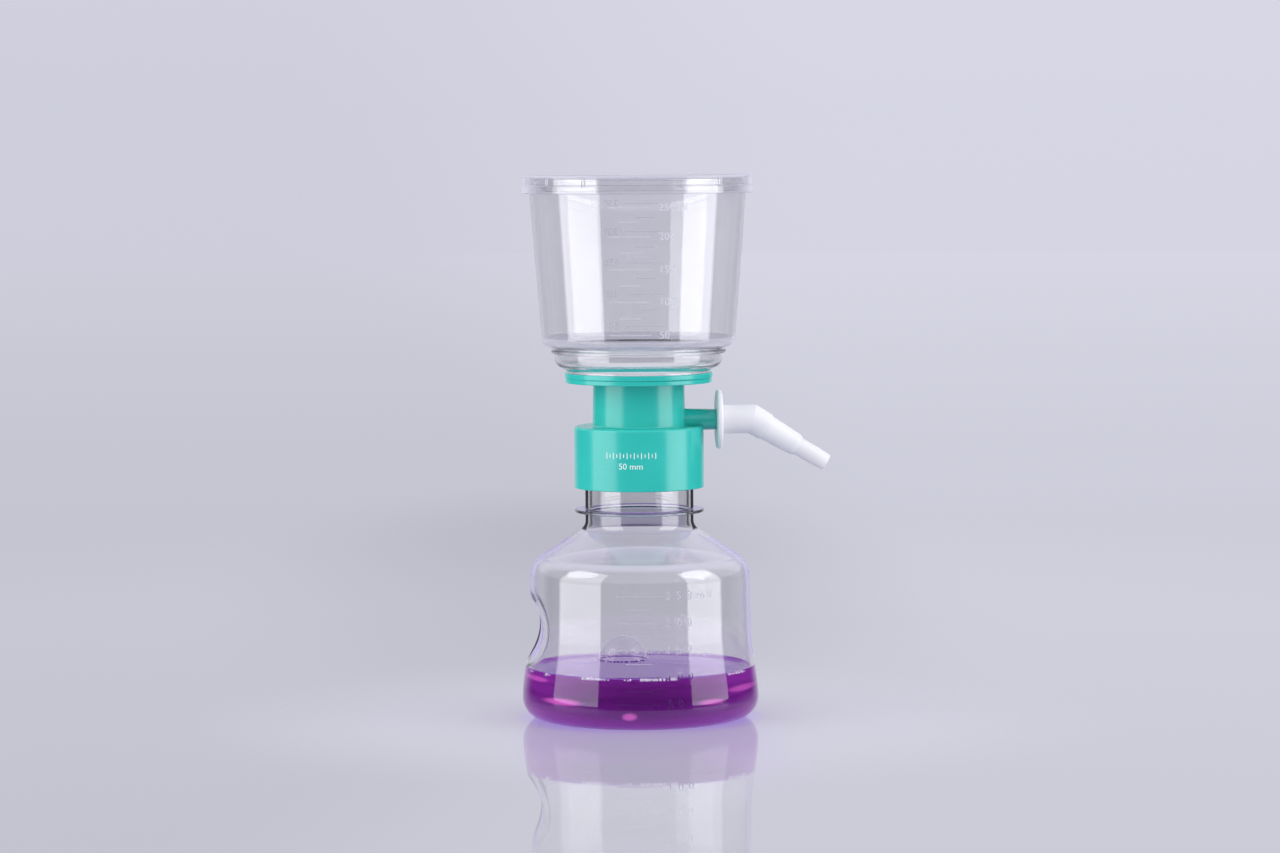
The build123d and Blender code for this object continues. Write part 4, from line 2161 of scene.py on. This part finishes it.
        # and a painted blue-violet glow round the bottle's foot
        halo = recipe.smooth_span(away, self.halo, 0.0, 0.038, 0.05)
        rim = recipe.times(halo, recipe.smooth_span(aside, 0.35, 1.0, 0.0, 0.035))
        base = recipe.join(rim, base, recipe.shader("Emission", {"Color": srgb(182, 160, 244)}))
        gloss = recipe.shader("BsdfGlossy", {"Color": (1.0, 1.0, 1.0), "Roughness": 0.03})
        mirror = recipe.times(recipe.add("Fresnel", {"IOR": 1.19}).outputs[0], recipe.fall(away, 0.35, 0.9))
        top = recipe.join(mirror, base, gloss)
        # gloss on the unit sees only the near part of the table, and past it the room and the lamps
        past = recipe.times(Rays(recipe).mirrored_dry(0), recipe.rise(away, 0.1, 0.2))
        surface = recipe.join(past, top, recipe.shader("BsdfTransparent"))
        dress(christen("table"), recipe.finish(surface))

    def far_glow(self, recipe: Recipe) -> Socket:
        """The table's own light away from the unit, which gets paler towards the back, with painted light on
        the right and a painted shadow behind the unit.

        Args:
            recipe: The material under construction.

        Returns:
            The shader.
        """
        across, depth, _ = recipe.split()
        far = recipe.ramp(
            recipe.span(depth, 0.0, 1.0, -0.4, 5.6),
            (
                (0.0, srgb(189, 189, 201)),
                (0.07, srgb(191, 191, 203)),
                (0.22, srgb(197, 197, 210)),
                (0.4, srgb(200, 200, 213)),
                (0.7, srgb(204, 204, 217)),
                (1.0, srgb(206, 205, 219)),
            ),
        )
        # painted light: the table is a little lighter on the right, past a soft edge that runs away from the
        # viewer
        edge = recipe.span(depth, -0.13, 0.1, -0.33, 0.3)
        width = recipe.math("MULTIPLY_ADD", recipe.most(depth, 0.0), 0.065, 0.06)
        turn = recipe.math("DIVIDE", recipe.math("SUBTRACT", across, edge), width)
        right = recipe.smooth_span(turn, 1.0, 1.1, -1.0, 1.0)
        # and a painted soft shadow of the unit lies behind it
        values = {"Vector": recipe.place(), "Location": (0.0, -0.9, 0.0), "Scale": (6.5, 2.0, 0.0)}
        from_painted_shadow = recipe.vector("LENGTH", {0: recipe.add("Mapping", values).outputs[0]})
        shaded = recipe.smooth_span(from_painted_shadow, 0.8, 1.0, 0.1, 1.3)
        return recipe.shader("Emission", {"Color": far, "Strength": recipe.times(shaded, right)})

    def build(self) -> None:
        """Set up the camera, the room, the table and the lamps."""
        self.build_camera()
        self.build_world()
        self.build_floor()
        SoftBox(FRONT - 65, 50, radiance=2.0).hang("left soft box")
        SoftBox(FRONT + 70, 42, radiance=2.15).hang("right soft box")
        bpy.context.scene.view_settings.view_transform = "Standard"


# --- the whole unit -------------------------------------------------------------------------------


@dataclass(frozen=True)
class CollarPrint:
    """The membrane's size and a row of plain lines on the front of the collar, in millimetres.

    Attributes:
        text: What is printed.
        digit: The height of a digit.
        text_at: How far along the collar the text starts.
        text_height: The height of the text's middle.
        middle: How far along the collar the row's middle is.
        width: How wide the row is.
        row_height: The height of the row's middle.
        lines: How many lines it has.
        long: The length of every second line, from the first.
        short: The length of the lines between.
        thick: How thick a line is.
    """

    text: str = "50 mm"
    digit: float = 2.3
    text_at: float = -8.7
    text_height: float = 95.9
    middle: float = -3.5
    width: float = 21.0
    row_height: float = 99.9
    lines: int = 15
    long: float = 2.3
    short: float = 1.3
    thick: float = 0.3

    def build(self, collar: Piece) -> Piece:
        """Print on the collar.

        Args:
            collar: The CAD adapter, which stays as it is.

        Returns:
            The finished print, as one object.
        """
        marker = Marker(collar, extent("adapter")[1].y, proud=0.03, sunk=0.02)
        words = Wording(self.text, self.digit).cut()
        marks = [marker.stand(words, self.text_height, FRONT, self.text_at)]
        for index in range(self.lines):
            along = self.middle + (index / (self.lines - 1) - 0.5) * self.width
            line = Tick(self.thick, self.short if index % 2 else self.long).cut()
            marks.append(marker.stand(line, self.row_height, FRONT, along))
        return dress(smooth(unite(marks, "collar_print"), MARK_ANGLE), PadInk().material("pad ink"))


def main() -> None:
    """Build the studio and the unit, sub-assembly by sub-assembly."""
    logging.basicConfig(level=logging.INFO, format="%(name)s: %(message)s")
    Studio().build()

    bottle = Bottle()
    clear_bottle = bottle.build()
    seat(clear_bottle, "bottle", "clear_bottle", "bottle")
    contents = Contents(bottle)
    seat(contents.build_liquid(), "bottle", "violet_liquid", "liquid")
    seat(contents.build_dome(), "bottle", "violet_liquid")
    seat(contents.build_dome_foot(), "bottle", "violet_liquid")
    seat(contents.build_foam(), "bottle", "violet_liquid")

    bottle_scale = Scale(
        "bottle_scale",
        heights=(10.3, 20.1, 29.9, 39.8, 49.7),
        long=16.6,
        short=9.9,
        ticks_at=-0.5,
        words_at=9.4,
        digit=3.1,
        spacing=1.9,
        unit="ml",
    ).build(lambda height: Marker(clear_bottle, bottle.head), (FRONT,))
    moulded = MouldedMark(clearness=0.8, brim=contents.brim + 0.5)
    dress(bottle_scale, moulded.material("moulded bottle mark"))
    seat(bottle_scale, "bottle", "clear_bottle")

    funnel = Funnel()
    clear_funnel = funnel.build()
    seat(clear_funnel, "filter_top", "clear_funnel", "funnel")
    funnel_scale = Scale(
        "funnel_scale",
        heights=(144.9, 157.1, 169.0, 180.9, 191.6),
        long=15.4,
        short=7.7,
        ticks_at=-3.0,
        words_at=7.75,
    ).build(lambda height: funnel.marker_at(clear_funnel, height), (FRONT, FRONT + 180))
    dress(funnel_scale, MouldedMark(clearness=0.62).material("etched funnel mark"))
    seat(funnel_scale, "filter_top", "clear_funnel")

    seat(Lid().build(), "lid", "clear_lid", "lid")

    green = GreenPlastic().material("green plastic")
    carry("adapter", green)
    seat(CollarPrint().build(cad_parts["adapter"]), "filter_top", "green_plastic")
    carry("membrane_support", green)
    carry("hose_connector", WhitePlastic().material("white plastic"))
    carry("membrane", Membrane().material("filter membrane"))
    carry("neck_seal", Silicone().material("seal rubber"))
    carry("port_plug", Cotton().material("cotton"))


if __name__ == "__main__":
    main()
